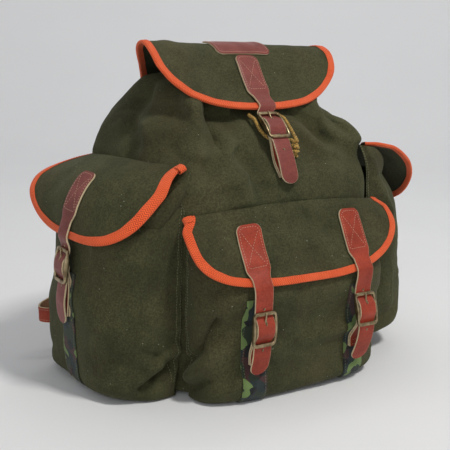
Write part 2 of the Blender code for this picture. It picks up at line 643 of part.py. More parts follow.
def flap_faces(down, across):
    """Faces of one side of a flap: the inner grid and the ring of quads under the binding."""
    columns = across + 1
    inner = [row * columns for row in range(down + 1)]
    inner += [down * columns + column for column in range(1, across + 1)]
    inner += [row * columns + across for row in range(down - 1, -1, -1)]
    ring = (down + 1) * columns
    quads = [(row * columns + column, row * columns + column + 1,
              (row + 1) * columns + column + 1, (row + 1) * columns + column)
             for row in range(down) for column in range(across)]
    quads += [(ring + step, inner[step], inner[step + 1], ring + step + 1) for step in range(len(inner) - 1)]
    faces = [half for quad in quads for half in halves(quad)]
    rim = [ring + step for step in range(len(inner))]
    seam = [ring, *range(0, columns), ring + len(inner) - 1]
    return faces, rim, seam


# Sides of the folded tape whose quads are split like the flap that they lie on
BINDING_TURNED = (0, 4, 5)


def build_flap(kind):
    """Flap: one layer of canvas cut round at its free edge, and the folded tape that binds it."""
    flap = FLAPS[kind]
    outline, inset = flap_outline(flap)
    places = np.vstack([flap_pattern(flap).reshape(-1, 2), outline])
    middle, normal, _ = flap_frame(flap, places[:, 0], places[:, 1])
    half = 0.5 * FLAP_CLOTH
    faces, rim, seam = flap_faces(sum(flap["side_steps"]), flap["across_steps"])
    behind = len(places)
    faces += [tuple(behind + corner for corner in face[::-1]) for face in faces]
    for edge in (rim, seam[::-1]):
        faces += [(here, there, behind + there, behind + here) for here, there in zip(edge, edge[1:])]
    points = np.vstack([middle + half * normal, middle - half * normal])
    add_object(kind + "_flap", points, faces, CANVAS_FINISH)
    edge, edge_normal, _ = flap_frame(flap, outline[:, 0], outline[:, 1])
    deep, deep_normal, _ = flap_frame(flap, inset[:, 0], inset[:, 1])
    inward = unit(deep - edge)
    slot, skin = half + GAP, half + GAP + BINDING_CLOTH
    loops = []
    for reach, step in ((skin, GAP + BINDING_CLOTH), (slot, GAP)):
        rim_line = edge - inward * step
        loops.append([deep + reach * deep_normal, rim_line + reach * edge_normal,
                      rim_line - reach * edge_normal, deep - reach * deep_normal])
    section = [*loops[0], *loops[1][::-1]]
    points = np.stack(section, axis=1).reshape(-1, 3)
    sides, stations = len(section), len(edge)
    faces = []
    for station in range(stations - 1):
        for corner in range(sides):
            here = station * sides + corner
            after = station * sides + (corner + 1) % sides
            quad = (here, after, after + sides, here + sides)
            faces.extend(halves(quad[1:] + quad[:1] if corner in BINDING_TURNED else quad))
    for base in (0, (stations - 1) * sides):
        faces.extend([(base, base + 1, base + 6, base + 7), (base + 1, base + 2, base + 5, base + 6),
                      (base + 2, base + 3, base + 4, base + 5)])
    add_object(kind + "_binding", points, faces, BINDING_FINISH)


def add_ribbon(name, route, widths, lateral, thickness, finish):
    """Flat strap along a route, with its half width and its lateral direction at each point."""
    route, lateral = np.asarray(route, float), unit(np.broadcast_to(lateral, np.shape(route)))
    run = unit(np.gradient(route, axis=0))
    normal = unit(np.cross(run, lateral))
    half = np.asarray(widths, float)[:, None]
    middle = np.stack([route - lateral * half, route + lateral * half], axis=1)
    face = middle + 0.5 * thickness * normal[:, None]
    back = middle - 0.5 * thickness * normal[:, None]
    return add_thick_patch(name, face, back, finish)


def round_end(distance, half_width, radius):
    """Half width near a rounded end, at a distance from its tip."""
    if distance >= radius:
        return half_width
    return half_width - radius + math.sqrt(max(radius**2 - (radius - distance) ** 2, 0.0))


def strap_origin(strap):
    """Foot of a closing strap's upright plane, on the floor."""
    across = strap["across"] + strap["drift"]
    return np.array([0.0, across, 0.0]) if strap["out"][0] else np.array([across, 0.0, 0.0])


def buckle_frame(strap):
    """Origin and axes of a buckle: down along the strap, outward from the bag, and sideways."""
    out = np.array([*strap["out"], 0.0])
    up = np.array([0.0, 0.0, 1.0])
    lean = math.radians(strap["lean"])
    centre = strap_origin(strap) + out * strap["buckle"][0] + up * strap["buckle"][1]
    down = -up * math.cos(lean) + out * math.sin(lean)
    outward = out * math.cos(lean) + up * math.sin(lean)
    return centre, down, outward, np.cross(down, outward)


# Route of strap, billet and prong near the buckle: distance down from its centre bar, and outward
STRAP_IN_BUCKLE = ((-0.0235, -0.0011), (-0.0165, -0.0012), (-0.0110, 0.0022), (-0.0055, 0.0052),
                   (0.0, 0.0056),
                   (0.0055, 0.0052), (0.0110, 0.0022), (0.0165, -0.0012), (0.0235, -0.0014))
BILLET_OUTER = ((0.0190, -0.0047), (0.0125, -0.0028), (0.0060, 0.0014))
BILLET_TURN = ((0.0, 0.0029), (-0.0027, 0.0011), (-0.0027, -0.0011), (0.0, -0.0029))
BILLET_INNER = ((0.0060, -0.0032), (0.0125, -0.0054), (0.0190, -0.0076))
PRONG_ROUTE = ((0.0012, -0.0024), (0.0027, -0.0002), (0.0014, 0.0023), (-0.0010, 0.0028),
               (-0.0120, 0.0035), (-0.0175, 0.0044), (-0.0210, 0.0046))


def in_plane(strap, pairs):
    """Points of a strap's plane given as reach and height."""
    out = np.array([*strap["out"], 0.0])
    return [strap_origin(strap) + out * reach + (0.0, 0.0, height) for reach, height in pairs]


def by_buckle(strap, pairs):
    """Points given by their place down and outward from the buckle's centre bar."""
    centre, down, outward, _ = buckle_frame(strap)
    return [centre + down * below + outward * raised for below, raised in pairs]


def strap_curve(strap):
    """Smooth middle line of a closing strap, and the lengths where it leaves the flap and crosses the bar."""
    flap = FLAPS[strap["flap"]]
    lateral = buckle_frame(strap)[3]
    places = np.linspace(strap["head_at"], flap["length"] - 0.001, 8)
    seat, up, across = flap_frame(flap, strap["across"] - flap["centre"], places)
    across = across * np.sign(across @ lateral)[:, None]
    on_cloth = 0.5 * FLAP_CLOTH + GAP + 0.5 * LEATHER + STRAP_LIFT
    step_up = np.clip((places - flap["length"] + BINDING_DEPTH) / STRAP_STEP + 1.0, 0.0, 1.0)
    lift = on_cloth + (BINDING_CLOTH + STRAP_OVER_BINDING) * step_up * step_up * (3.0 - 2.0 * step_up)
    above = np.hstack([seat + up * lift[:, None], across])
    below = by_buckle(strap, STRAP_IN_BUCKLE) + in_plane(strap, strap["tail"])
    below = np.hstack([np.array(below), np.tile(lateral, (len(below), 1))])
    curve = smooth_curve(np.vstack([above, below]))
    along = lengths_along(curve[:, :3])
    bar = by_buckle(strap, [STRAP_IN_BUCKLE[len(STRAP_IN_BUCKLE) // 2]])[0]
    marks = [along[int(np.argmin(np.linalg.norm(curve[:, :3] - mark, axis=1)))]
             for mark in (above[-1, :3], bar)]
    return curve, *marks


def at_places(curve, wanted):
    """Rows of a curve with extra columns at distances measured along its first three."""
    along = lengths_along(curve[:, :3])
    return np.stack([np.interp(wanted, along, curve[:, axis]) for axis in range(curve.shape[1])], axis=-1)


def strap_half_width(along, total):
    """Half width of a closing strap: sewn head, taper, and rounded tail."""
    head, narrow = 0.5 * HEAD_WIDTH, 0.5 * STRAP_WIDTH
    if along < HEAD_LENGTH:
        return round_end(along, head, 0.009)
    if along < HEAD_LENGTH + HEAD_TAPER:
        share = (along - HEAD_LENGTH) / HEAD_TAPER
        return head + (narrow - head) * share * share * (3.0 - 2.0 * share)
    return round_end(total - along, narrow, 0.0115)


def strap_stations(total, edge, bar):
    """Distances along a strap where its mesh has a row."""
    fixed = [0.0, 0.0012, 0.005, 0.5 * HEAD_LENGTH, HEAD_LENGTH]
    fixed += [HEAD_LENGTH + HEAD_TAPER * share for share in (0.5, 1.0)]
    fixed += [bar + step for step in (-0.0220, -0.0163, -0.0105, -0.0040, 0.0040, 0.0105, 0.0163, 0.0220)]
    fixed += [total - step for step in (0.0115, 0.006, 0.0020, 0.0)]
    fixed += [mark for mark in (edge - BINDING_DEPTH, edge - 0.001, edge + 0.004)
              if min(abs(mark - other) for other in fixed) > 0.003]
    stations = []
    for start, end in zip(sorted(fixed), sorted(fixed)[1:]):
        parts = math.ceil((end - start) / STRAP_ROW)
        stations.extend(start + (end - start) * step / parts for step in range(parts))
    return np.array(stations + [total])


def add_cutter(name, centres, axes, radius, stretch, sides=HOLE_SIDES):
    """Hidden prisms that punch the holes of one strap."""
    shape = bmesh.new()
    for centre, (along, normal, lateral), length in zip(centres, axes, stretch):
        rings = []
        for height in (-0.006, 0.006):
            rings.append([shape.verts.new(tuple(
                centre + normal * height
                + lateral * radius * math.cos(2.0 * math.pi * (side + 0.5) / sides)
                + along * radius * length * math.sin(2.0 * math.pi * (side + 0.5) / sides)))
                for side in range(sides)])
        for side in range(sides):
            after = (side + 1) % sides
            shape.faces.new((rings[0][side], rings[0][after], rings[1][after], rings[1][side]))
        shape.faces.new(rings[0][::-1])
        shape.faces.new(rings[1])
    bmesh.ops.recalc_face_normals(shape, faces=shape.faces)
    mesh = bpy.data.meshes.new(name)
    shape.to_mesh(mesh)
    shape.free()
    cutter = bpy.data.objects.new(name, mesh)
    cutter.hide_render = True
    cutter.display_type = "WIRE"
    bpy.context.scene.collection.objects.link(cutter)
    return cutter


def cut(piece, cutter, operation="DIFFERENCE"):
    """Boolean modifier that cuts or joins one object with another."""
    modifier = piece.modifiers.new("cut", "BOOLEAN")
    modifier.operation = operation
    modifier.object = cutter


def build_strap(name, strap):
    """Closing strap with its sewn head, punched holes and free tail."""
    curve, edge, bar = strap_curve(strap)
    total = lengths_along(curve[:, :3])[-1]
    stations = strap_stations(total, edge, bar)
    route = at_places(curve, stations)
    widths = [max(strap_half_width(along, total), 0.003) for along in stations]
    piece = add_ribbon(name + "_strap", route[:, :3], widths, route[:, 3:], LEATHER, LEATHER_FINISH)
    prong_hole = bar - PRONG_HOLE_UP
    centres, axes, stretch = [], [], []
    for along in [prong_hole] + [bar + step for step in strap["holes"]]:
        place, ahead, behind = at_places(curve, np.array([along, along + 0.001, along - 0.001]))
        run, lateral = unit(ahead[:3] - behind[:3]), unit(place[3:])
        centres.append(place[:3])
        axes.append((run, np.cross(run, lateral), lateral))
        stretch.append(PRONG_HOLE_STRETCH if along == prong_hole else 1.0)
    cut(piece, add_cutter(name + "_punch", centres, axes, HOLE_RADIUS, stretch))


def backing_reach(name, strap, height):
    """Reach of what a billet is sewn to: the webbing on a pocket, or the sack itself."""
    side = 0.5 * STRAP_WIDTH * np.array([-1.0, -0.5, 0.0, 0.5, 1.0])
    if name == "main":
        return -float(sack_at("front", side, height).min())
    kind = strap["flap"]
    axis = 0 if kind == "front" else 1
    heights, reaches = [], []
    for ring in pocket_surface(kind, np.linspace(-1.0, 1.0, 401), POCKET_ROWS[kind])[3:]:
        facing = ring[60:341][np.argsort(ring[60:341, axis])]
        heights.append(facing[140, 2])
        reaches.append(np.abs(np.interp(strap["across"] + side, facing[:, axis], facing[:, 1 - axis])).max())
    return float(np.interp(height, heights, reaches)) + WEBBING_STANDOFF + WEBBING


def build_billet(name, strap):
    """Doubled leather tab that carries the buckle, with a slot for the prong at its fold."""
    lateral = buckle_frame(strap)[3]
    lift = GAP + 0.5 * BILLET_LEATHER + BILLET_LIFT
    end = [(backing_reach(name, strap, height) + lift, height) for height in strap["sewn_at"]]
    inner_end = in_plane(strap, end)
    buckle_end = by_buckle(strap, BILLET_INNER[-1:])[0] - strap_origin(strap)
    inner_line = np.array([(np.hypot(*buckle_end[:2]), buckle_end[2]), *end])
    fall = unit(np.gradient(inner_line, axis=0))[1:]
    outer_end = in_plane(strap, [(reach - BILLET_SPREAD * sinking, height + BILLET_SPREAD * inward)
                                 for (reach, height), (inward, sinking) in zip(end, fall)])
    round_bar = by_buckle(strap, BILLET_OUTER + BILLET_TURN + BILLET_INNER)
    route = np.array(outer_end[::-1] + round_bar + inner_end)
    run = unit(np.gradient(route, axis=0))
    normal = np.cross(run, lateral)
    half, slot = 0.5 * STRAP_WIDTH - 0.001, 0.0022
    first_open, last_open = len(end) + 2, len(route) - len(end) - 4
    points, faces = [], []
    for centre, up in zip(route, normal):
        for side in (1, -1):
            points.extend(centre + lateral * at + up * side * 0.5 * BILLET_LEATHER
                          for at in (-half, -slot, slot, half))
    count = len(route)
    for row in range(count - 1):
        low, high = row * 8, (row + 1) * 8
        open_here = first_open <= row <= last_open
        for column in range(3):
            if column == 1 and open_here:
                continue
            faces.append((low + column, low + column + 1, high + column + 1, high + column))
            faces.append((low + 4 + column, high + 4 + column, high + 5 + column, low + 5 + column))
        faces.append((low, high, high + 4, low + 4))
        faces.append((low + 3, low + 7, high + 7, high + 3))
        if open_here:
            faces.append((low + 1, low + 5, high + 5, high + 1))
            faces.append((low + 2, high + 2, high + 6, low + 6))
    for row in (first_open, last_open + 1):
        faces.append((row * 8 + 1, row * 8 + 2, row * 8 + 6, row * 8 + 5))
    for base in (0, (count - 1) * 8):
        faces.extend((corner, corner + 1, corner + 5, corner + 4) for corner in range(base, base + 3))
    add_object(name + "_billet", points, faces, LEATHER_FINISH)


def build_buckle(name, strap):
    """Arched rectangular frame with a round centre bar."""
    centre, down, outward, lateral = buckle_frame(strap)
    half_length, half_width = 0.5 * BUCKLE_LENGTH, 0.5 * BUCKLE_WIDTH
    inner_length, inner_width = half_length - END_BAR_WIDTH, half_width - RAIL_WIDTH
    stations = [(-1.0, -1.0)] + [(-1.0, step) for step in (-0.4, 0.0, 0.4)] + [(-1.0, 1.0)]
    stations += [(1.0, 1.0)] + [(1.0, step) for step in (0.4, 0.0, -0.4)] + [(1.0, -1.0)]
    points = []
    for side, share in stations:
        arch = RAIL_ARCH * (1.0 - share * share)
        for width, length in ((half_width, half_length), (inner_width, inner_length)):
            for raised in (END_BAR_HIGH + arch, END_BAR_LOW - 0.8 * arch):
                points.append(centre + lateral * side * width + down * share * length + outward * raised)
    count = len(stations)
    faces = []
    for station in range(count):
        here, there = station * 4, (station + 1) % count * 4
        for low, high in ((0, 1), (1, 3), (3, 2), (2, 0)):
            faces.append((here + low, here + high, there + high, there + low))
    piece = add_object(name + "_buckle", points, faces, BRASS_FINISH)
    reach = inner_width + 0.5 * RAIL_WIDTH
    sides = 8
    rings = [[centre + lateral * end * reach
              + CENTRE_BAR_RADIUS * (down * math.cos(2.0 * math.pi * side / sides)
                                     + outward * math.sin(2.0 * math.pi * side / sides))
              for side in range(sides)] for end in (-1.0, 1.0)]
    bar_faces = [(side, (side + 1) % sides, (side + 1) % sides + sides, side + sides)
                 for side in range(sides)]
    bar_faces += [tuple(range(sides)), tuple(range(2 * sides - 1, sides - 1, -1))]
    bar = add_object(name + "_centre_bar", rings[0] + rings[1], bar_faces, BRASS_FINISH)
    bar.hide_render = True
    bar.display_type = "WIRE"
    cut(piece, bar, "UNION")


def add_rod(name, route, radius, finish, lateral, sides=5):
    """Closed round rod along a route, turned about a fixed sideways direction."""
    route = np.asarray(route, float)
    run = unit(np.gradient(route, axis=0))
    points, faces = [], []
    for centre, forward in zip(route, run):
        sideways = unit(lateral - forward * (lateral @ forward))
        up = np.cross(forward, sideways)
        points.extend(centre + radius * (sideways * math.cos(2.0 * math.pi * side / sides)
                                         + up * math.sin(2.0 * math.pi * side / sides))
                      for side in range(sides))
    for row in range(len(route) - 1):
        for side in range(sides):
            here, after = row * sides + side, row * sides + (side + 1) % sides
            faces.append((here, after, after + sides, here + sides))
    faces.append(tuple(range(sides)))
    faces.append(tuple(len(points) - sides + side for side in range(sides)))
    return add_object(name, points, faces, finish)


def build_prong(name, strap):
    """Prong: a wire bent round the centre bar, through the strap and onto the top bar."""
    lateral = buckle_frame(strap)[3]
    add_rod(name + "_prong", by_buckle(strap, PRONG_ROUTE), PRONG_RADIUS, BRASS_FINISH, lateral)


def build_webbing(name, strap):
    """Woven band laid on a pocket from under its flap down to the bottom."""
    kind, middle = strap["flap"], strap["across"]
    outward = {"front": (0, -1, 0), "left": (-1, 0, 0), "right": (1, 0, 0)}[kind]
    surface = pocket_surface(kind, np.linspace(-1.0, 1.0, 401), POCKET_ROWS[kind])
    normals = grid_normals(surface, outward)
    axis = 0 if kind == "front" else 1
    face, back = [], []
    for ring, up in list(zip(surface, normals))[WEBBING_ROWS[0]:WEBBING_ROWS[1]]:
        order = np.argsort(ring[60:341, axis])
        where = [ring[60:341][order], up[60:341][order]]
        wanted = middle + WEBBING_WIDTH * np.array([-0.5, 0.0, 0.5])
        place = [np.stack([np.interp(wanted, where[0][:, axis], grid[:, k]) for k in range(3)], axis=1)
                 for grid in where]
        back.append(place[0] + place[1] * WEBBING_STANDOFF)
        face.append(place[0] + place[1] * (WEBBING_STANDOFF + WEBBING))
    add_thick_patch(name + "_webbing", np.array(face), np.array(back), WEBBING_FINISH)


def build_top_patch():
    """Bare leather patch sewn across the ridge of the main flap."""
    centre_a, centre_b, half_long, half_wide, corner = 0.004, 0.1465, 0.042, 0.025, 0.009
    lift = 0.5 * FLAP_CLOTH + GAP + PATCH_LIFT
    face, back = [], []
    for step_b in (-1.0, -0.82, -0.45, 0.0, 0.45, 0.82, 1.0):
        b = centre_b + half_wide * step_b
        half = round_end((1.0 - abs(step_b)) * half_wide, half_long, corner)
        seat, up, _ = flap_frame(FLAPS["main"], centre_a + half * np.linspace(-1.0, 1.0, 5), b)
        back.append(seat + up * lift)
        face.append(seat + up * (lift + LEATHER))
    add_thick_patch("top_patch", np.array(face), np.array(back), LEATHER_FINISH)


def build_drawcord():
    """Drawcord: two strands that hang out of the hem and meet in one knot."""
    for name, (across, height) in CORD_EXITS.items():
        reach = sack_at("front", across, height)
        start = [(across, reach - CORD_RADIUS - GAP, height), (across, reach - 0.006, height - 0.0015)]
        curve = smooth_curve(start + list(CORD_ROUTES[name]))
        total = lengths_along(curve)[-1]
        count = int(total / CORD_STEP) + 2
        line = bpy.data.curves.new(name, "CURVE")
        line.dimensions = "3D"
        line.bevel_depth = CORD_RADIUS
        line.bevel_resolution = 2
        line.use_fill_caps = True
        spline = line.splines.new("POLY")
        spline.points.add(count - 1)
        for target, point in zip(spline.points, at_lengths(curve, np.linspace(0.0, total, count))):
            target.co = (*map(float, point), 1.0)
        piece = bpy.data.objects.new(name, line)
        line.materials.append(make_material(CORD_FINISH))
        bpy.context.scene.collection.objects.link(piece)
    shape = bmesh.new()
    bmesh.ops.create_icosphere(shape, subdivisions=2, radius=KNOT_RADIUS)
    for vertex in shape.verts:
        waist = 1.0 - 0.22 * math.exp(-(vertex.co.z / (0.3 * KNOT_RADIUS)) ** 2)
        vertex.co.x *= waist
        vertex.co.y *= waist
        vertex.co.z *= KNOT_STRETCH
    mesh = bpy.data.meshes.new("drawcord_knot")
    shape.to_mesh(mesh)
    shape.free()
    knot = bpy.data.objects.new("drawcord_knot", mesh)
    knot.location = CORD_KNOT
    mesh.materials.append(make_material(CORD_FINISH))
    mesh.shade_smooth()
    bpy.context.scene.collection.objects.link(knot)


# Carrying straps behind the back panel: points of the route with the half width, and the turn of
# the width from sideways (0) to upright (90). A reach of 0 is laid on what is behind it.
SHOULDER_ROUTE = (
    # x y z half_width
    (0.0385, 0.0000, 0.338, 0.018),
    (0.0400, 0.0000, 0.318, 0.018),
    (0.0450, 0.1290, 0.295, 0.021),
    (0.0550, 0.1490, 0.262, 0.023),
    (0.0680, 0.1640, 0.225, 0.023),
    (0.0820, 0.1680, 0.185, 0.020),
    (0.0960, 0.1640, 0.150, 0.014),
    (0.1040, 0.1590, 0.125, 0.0125),
)
LOWER_ROUTE = (
    # x y z half_width turn
    (0.092, 0.0000, 0.052, 0.0105, 90.0),
    (0.108, 0.0000, 0.052, 0.0105, 90.0),
    (0.124, 0.0000, 0.052, 0.0105, 90.0),
    (0.152, 0.1190, 0.052, 0.0105, 90.0),
    (0.180, 0.1225, 0.052, 0.0105, 90.0),
    (0.207, 0.1280, 0.052, 0.0105, 90.0),
    (0.225, 0.1330, 0.053, 0.0105, 90.0),
    (0.233, 0.1420, 0.054, 0.0105, 88.0),
    (0.226, 0.1510, 0.057, 0.0105, 84.0),
    (0.203, 0.1560, 0.064, 0.0105, 74.0),
    (0.171, 0.1590, 0.077, 0.0105, 58.0),
    (0.143, 0.1600, 0.092, 0.0105, 38.0),
    (0.123, 0.1606, 0.106, 0.0105, 18.0),
    (0.112, 0.1614, 0.117, 0.0105, 8.0),
    (0.104, 0.1637, 0.130, 0.0105, 0.0),
    (0.099, 0.1664, 0.143, 0.0105, 0.0),
)
CARRY_LEATHER = 0.0032
LOWER_LEATHER = 0.0026
LOWER_LIFT = 0.0004
YOKE_HEIGHTS = (0.300, 0.306, 0.322, 0.338, 0.344)
YOKE_HALF = 0.0575
YOKE_CORNER = 0.005
LOOP_HALF = 0.008
LOOP_TURN = (0.0, 1.0, -0.55)


def back_reach(x, z, wide, high):
    """Furthest reach of the sack's back under a piece of the given half width and half height."""
    across = x + wide * np.linspace(-1.0, 1.0, 5)[:, None]
    return float(sack_at("back", across, z + high * np.linspace(-1.0, 1.0, 5)).max())


def build_carrying_gear():
    """Yoke, shoulder straps, lower straps lapped onto their ends, and the carrying loop at the top."""
    yoke_face, yoke_back = [], []
    for height in YOKE_HEIGHTS:
        half = YOKE_HALF - (YOKE_CORNER if height in (YOKE_HEIGHTS[0], YOKE_HEIGHTS[-1]) else 0.0)
        across = np.linspace(-half, half, 5)
        reach = sack_at("back", across, height) + YOKE_LIFT
        row = np.stack([across, reach, np.full(5, height)], axis=1)
        yoke_back.append(row)
        yoke_face.append(row + (0.0, LEATHER, 0.0))
    add_thick_patch("back_yoke", np.array(yoke_face), np.array(yoke_back), LEATHER_FINISH)
    on_yoke = YOKE_LIFT + LEATHER + GAP
    for name, side in (("left", -1.0), ("right", 1.0)):
        route = np.array(SHOULDER_ROUTE)
        route[:, 0] *= side
        for row in route[:2]:
            row[1] = back_reach(row[0], row[2], row[3], 0.0) + on_yoke + 0.5 * CARRY_LEATHER
        curve = smooth_curve(route, per_span=2)
        add_ribbon(name + "_shoulder_strap", curve[:, :3], curve[:, 3], (1.0, 0.0, 0.0),
                   CARRY_LEATHER, LEATHER_FINISH)
        lower = np.array(LOWER_ROUTE)
        turn = np.radians(lower[:, 4])
        lateral = np.stack([np.cos(turn), np.zeros(len(turn)), np.sin(turn)], axis=1)
        lower[:, 0] *= side
        lateral[:, 0] *= side
        for row in lower[:3]:
            row[1] = back_reach(row[0], row[2], 0.002, row[3]) + GAP + LOWER_LIFT + 0.5 * LOWER_LEATHER
        add_ribbon(name + "_lower_strap", lower[:, :3], lower[:, 3], lateral, LOWER_LEATHER, LEATHER_FINISH)
    foot = back_reach(0.017, 0.326, 0.0, 0.0) + on_yoke + LOOP_HALF * unit(LOOP_TURN)[1]
    loop = smooth_curve(((-0.017, foot, 0.326), (-0.0165, foot + 0.009, 0.341), (-0.010, foot + 0.019, 0.352),
                         (0.0, foot + 0.022, 0.356), (0.010, foot + 0.019, 0.352),
                         (0.0165, foot + 0.009, 0.341), (0.017, foot, 0.326)), per_span=2)
    add_ribbon("carrying_loop", loop, [LOOP_HALF] * len(loop), LOOP_TURN, LEATHER, LEATHER_FINISH)


def clear_scene():
    """Remove every object of the open file."""
    for piece in list(bpy.data.objects):
        bpy.data.objects.remove(piece, do_unlink=True)


def main():
    clear_scene()
    build_sack()
    for kind in ("front", "left", "right"):
        build_pocket(kind)
    for kind in FLAPS:
        build_flap(kind)
    build_top_patch()
    for name, strap in STRAPS.items():
        build_strap(name, strap)
        build_billet(name, strap)
        build_buckle(name, strap)
        build_prong(name, strap)
    for name, strap in STRAPS.items():
        if name != "main":
            build_webbing(name, strap)
    build_drawcord()
    build_carrying_gear()


main()
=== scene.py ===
"""Looks of the canvas rucksack: cloth, tape, leather, metal, cord and stitches over the CAD model.

Units are metres, +Z is up and the front of the bag faces -Y. The tables and the shape functions
are the CAD's own, worked out here at a finer step, so that each piece lies where its node lies.
"""
import functools
import math

import bmesh
import bpy
import numpy as np
from mathutils import Matrix


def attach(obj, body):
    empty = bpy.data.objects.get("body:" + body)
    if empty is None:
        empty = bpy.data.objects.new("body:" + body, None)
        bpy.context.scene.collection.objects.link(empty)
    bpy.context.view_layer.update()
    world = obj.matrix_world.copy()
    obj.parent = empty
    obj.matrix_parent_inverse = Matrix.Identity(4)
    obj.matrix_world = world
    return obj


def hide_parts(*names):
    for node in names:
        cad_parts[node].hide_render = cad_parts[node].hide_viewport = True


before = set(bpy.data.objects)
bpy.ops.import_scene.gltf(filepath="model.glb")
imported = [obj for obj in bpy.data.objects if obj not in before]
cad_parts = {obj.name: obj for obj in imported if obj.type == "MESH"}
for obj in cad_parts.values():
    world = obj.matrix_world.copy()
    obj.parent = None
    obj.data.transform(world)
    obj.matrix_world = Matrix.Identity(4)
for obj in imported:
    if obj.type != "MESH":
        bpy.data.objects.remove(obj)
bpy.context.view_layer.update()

TURN = 2.0 * math.pi
GAP = 0.0003
CANVAS = 0.0020
FLAP_CLOTH = 0.0018
BINDING_CLOTH = 0.0009
BINDING_DEPTH = 0.0098
LEATHER = 0.0023
BILLET_LEATHER = 0.0020
WEBBING = 0.0012
WEBBING_WIDTH = 0.034
WEBBING_STANDOFF = 0.0008
WEBBING_ROWS = (2, 7)
WEBBING_COLUMNS = 15
WEBBING_THREAD = 0.0003
STRAP_WIDTH = 0.025
HEAD_WIDTH = 0.034
HEAD_LENGTH = 0.054
HEAD_TAPER = 0.014
HEAD_ROUND = 0.009
TAIL_ROUND = 0.0115
BUCKLE_WIDTH = 0.033
BUCKLE_LENGTH = 0.043
RAIL_WIDTH = 0.0032
END_BAR_WIDTH = 0.0045
END_BAR_LOW = 0.0006
END_BAR_HIGH = 0.0034
RAIL_ARCH = 0.0022
CENTRE_BAR_RADIUS = 0.0014
BUCKLE_CORNER = 0.0042
BUCKLE_SIDES = 14
BAR_SIDES = 18
HOLE_RADIUS = 0.0016
CORD_RADIUS = 0.0024
CORD_STEP = 0.00055
BRAID_TURNS = 4.0
BRAID_RISE = 0.0052
SEAM_STEP = 0.0009
SEAM_CLEAR = 0.0022
STRAP_LIFT = 0.0010
STRAP_STEP = 0.012
STRAP_OVER_BINDING = 0.0008
PATCH_LIFT = 0.0004
# Patch: its middle on the flat flap, half length and half width, corner, and inset of its stitches
PATCH = (0.004, 0.1465, 0.042, 0.025, 0.009, 0.0030)
RIM_DROP = 0.0005
RIM_REACH = 0.0004
PRONG_HOLE_UP = 0.0093
PRONG_HOLE_STRETCH = 2.9
BILLET_SPREAD = 0.0029
BILLET_LIFT = 0.0003
# Slot for the prong in a billet: reach down and outward from the centre bar, and half width
SLOT_DOWN = (-0.0052, 0.0080)
SLOT_OUT = (-0.0070, 0.0060)
SLOT_HALF = 0.0022
BILLET_INSET = 0.0036
BILLET_ROWS = (0.003, 0.009)
PRONG_RADIUS = 0.00122
PRONG_TAPER = 0.0004
PRONG_TIP = 0.0004
BEVEL = 0.00045
YOKE_LIFT = 0.0016

# Sack sections from the base up: height at the front and at the back, half width at the front and
# at the back, front and back reach, and the power that squares the corners
SACK_SECTIONS = (
    # z_front z_back half_front half_back y_front y_back power
    (0.000, 0.000, 0.122, 0.138, -0.080, 0.092, 4.0),
    (0.009, 0.009, 0.143, 0.162, -0.097, 0.108, 4.4),
    (0.032, 0.032, 0.157, 0.175, -0.107, 0.116, 5.0),
    (0.115, 0.115, 0.162, 0.180, -0.112, 0.119, 5.0),
    (0.205, 0.205, 0.162, 0.181, -0.114, 0.120, 5.0),
    (0.240, 0.240, 0.160, 0.183, -0.115, 0.120, 5.0),
    (0.262, 0.265, 0.158, 0.187, -0.109, 0.120, 4.8),
    (0.282, 0.290, 0.153, 0.188, -0.093, 0.119, 4.7),
    (0.301, 0.315, 0.150, 0.178, -0.075, 0.117, 4.6),
    (0.320, 0.342, 0.152, 0.157, -0.060, 0.113, 4.4),
    (0.337, 0.368, 0.120, 0.133, -0.050, 0.107, 4.4),
    (0.353, 0.386, 0.124, 0.108, -0.042, 0.100, 4.2),
)
WIDE_STEPS = 7
DEEP_STEPS = 6
SACK_COLUMNS = 4 * (WIDE_STEPS + DEEP_STEPS)
SACK_CORNERS = {
    (1, "front"): WIDE_STEPS, (1, "back"): WIDE_STEPS + 2 * DEEP_STEPS,
    (-1, "back"): 3 * WIDE_STEPS + 2 * DEEP_STEPS, (-1, "front"): 3 * WIDE_STEPS + 4 * DEEP_STEPS,
}
# Faces of the sack: axis that runs across the face, outward sign on the other one, first corner
FACES = {
    "front": (0, -1.0, (-1, "front")), "right": (1, 1.0, (1, "front")),
    "back": (0, 1.0, (1, "back")), "left": (1, -1.0, (-1, "back")),
}
SEAM_FOOT = 0.032
HEM_DIP = 0.011
HEM_DIP_FROM = 0.300

# Folds of the sack: the face they lie on, two ends across and up that face, half width and height
SACK_FOLDS = (
    # face across_0 z_0 across_1 z_1 half_width height
    ("front", -0.085, 0.345, -0.070, 0.245, 0.016, 0.006),
    ("front", -0.055, 0.350, -0.050, 0.255, 0.011, -0.006),
    ("front", -0.035, 0.300, 0.030, 0.322, 0.014, 0.003),
    ("front", 0.062, 0.330, 0.070, 0.270, 0.016, 0.004),
    ("front", 0.092, 0.335, 0.080, 0.285, 0.010, -0.004),
    ("front", 0.122, 0.324, 0.132, 0.308, 0.016, 0.012),
    ("front", 0.125, 0.300, 0.130, 0.262, 0.015, 0.008),
    ("left", 0.055, 0.372, -0.005, 0.300, 0.014, -0.006),
    ("left", -0.020, 0.345, -0.035, 0.300, 0.012, 0.005),
    ("right", 0.020, 0.360, -0.020, 0.300, 0.014, -0.006),
    ("right", -0.035, 0.318, -0.020, 0.290, 0.016, 0.007),
    ("back", -0.060, 0.360, -0.050, 0.300, 0.014, -0.004),
    ("back", 0.070, 0.360, 0.060, 0.300, 0.014, -0.004),
)
GATHER_COUNT = 13
GATHER_DEPTH = 0.0035
GATHER_FADE = 0.050

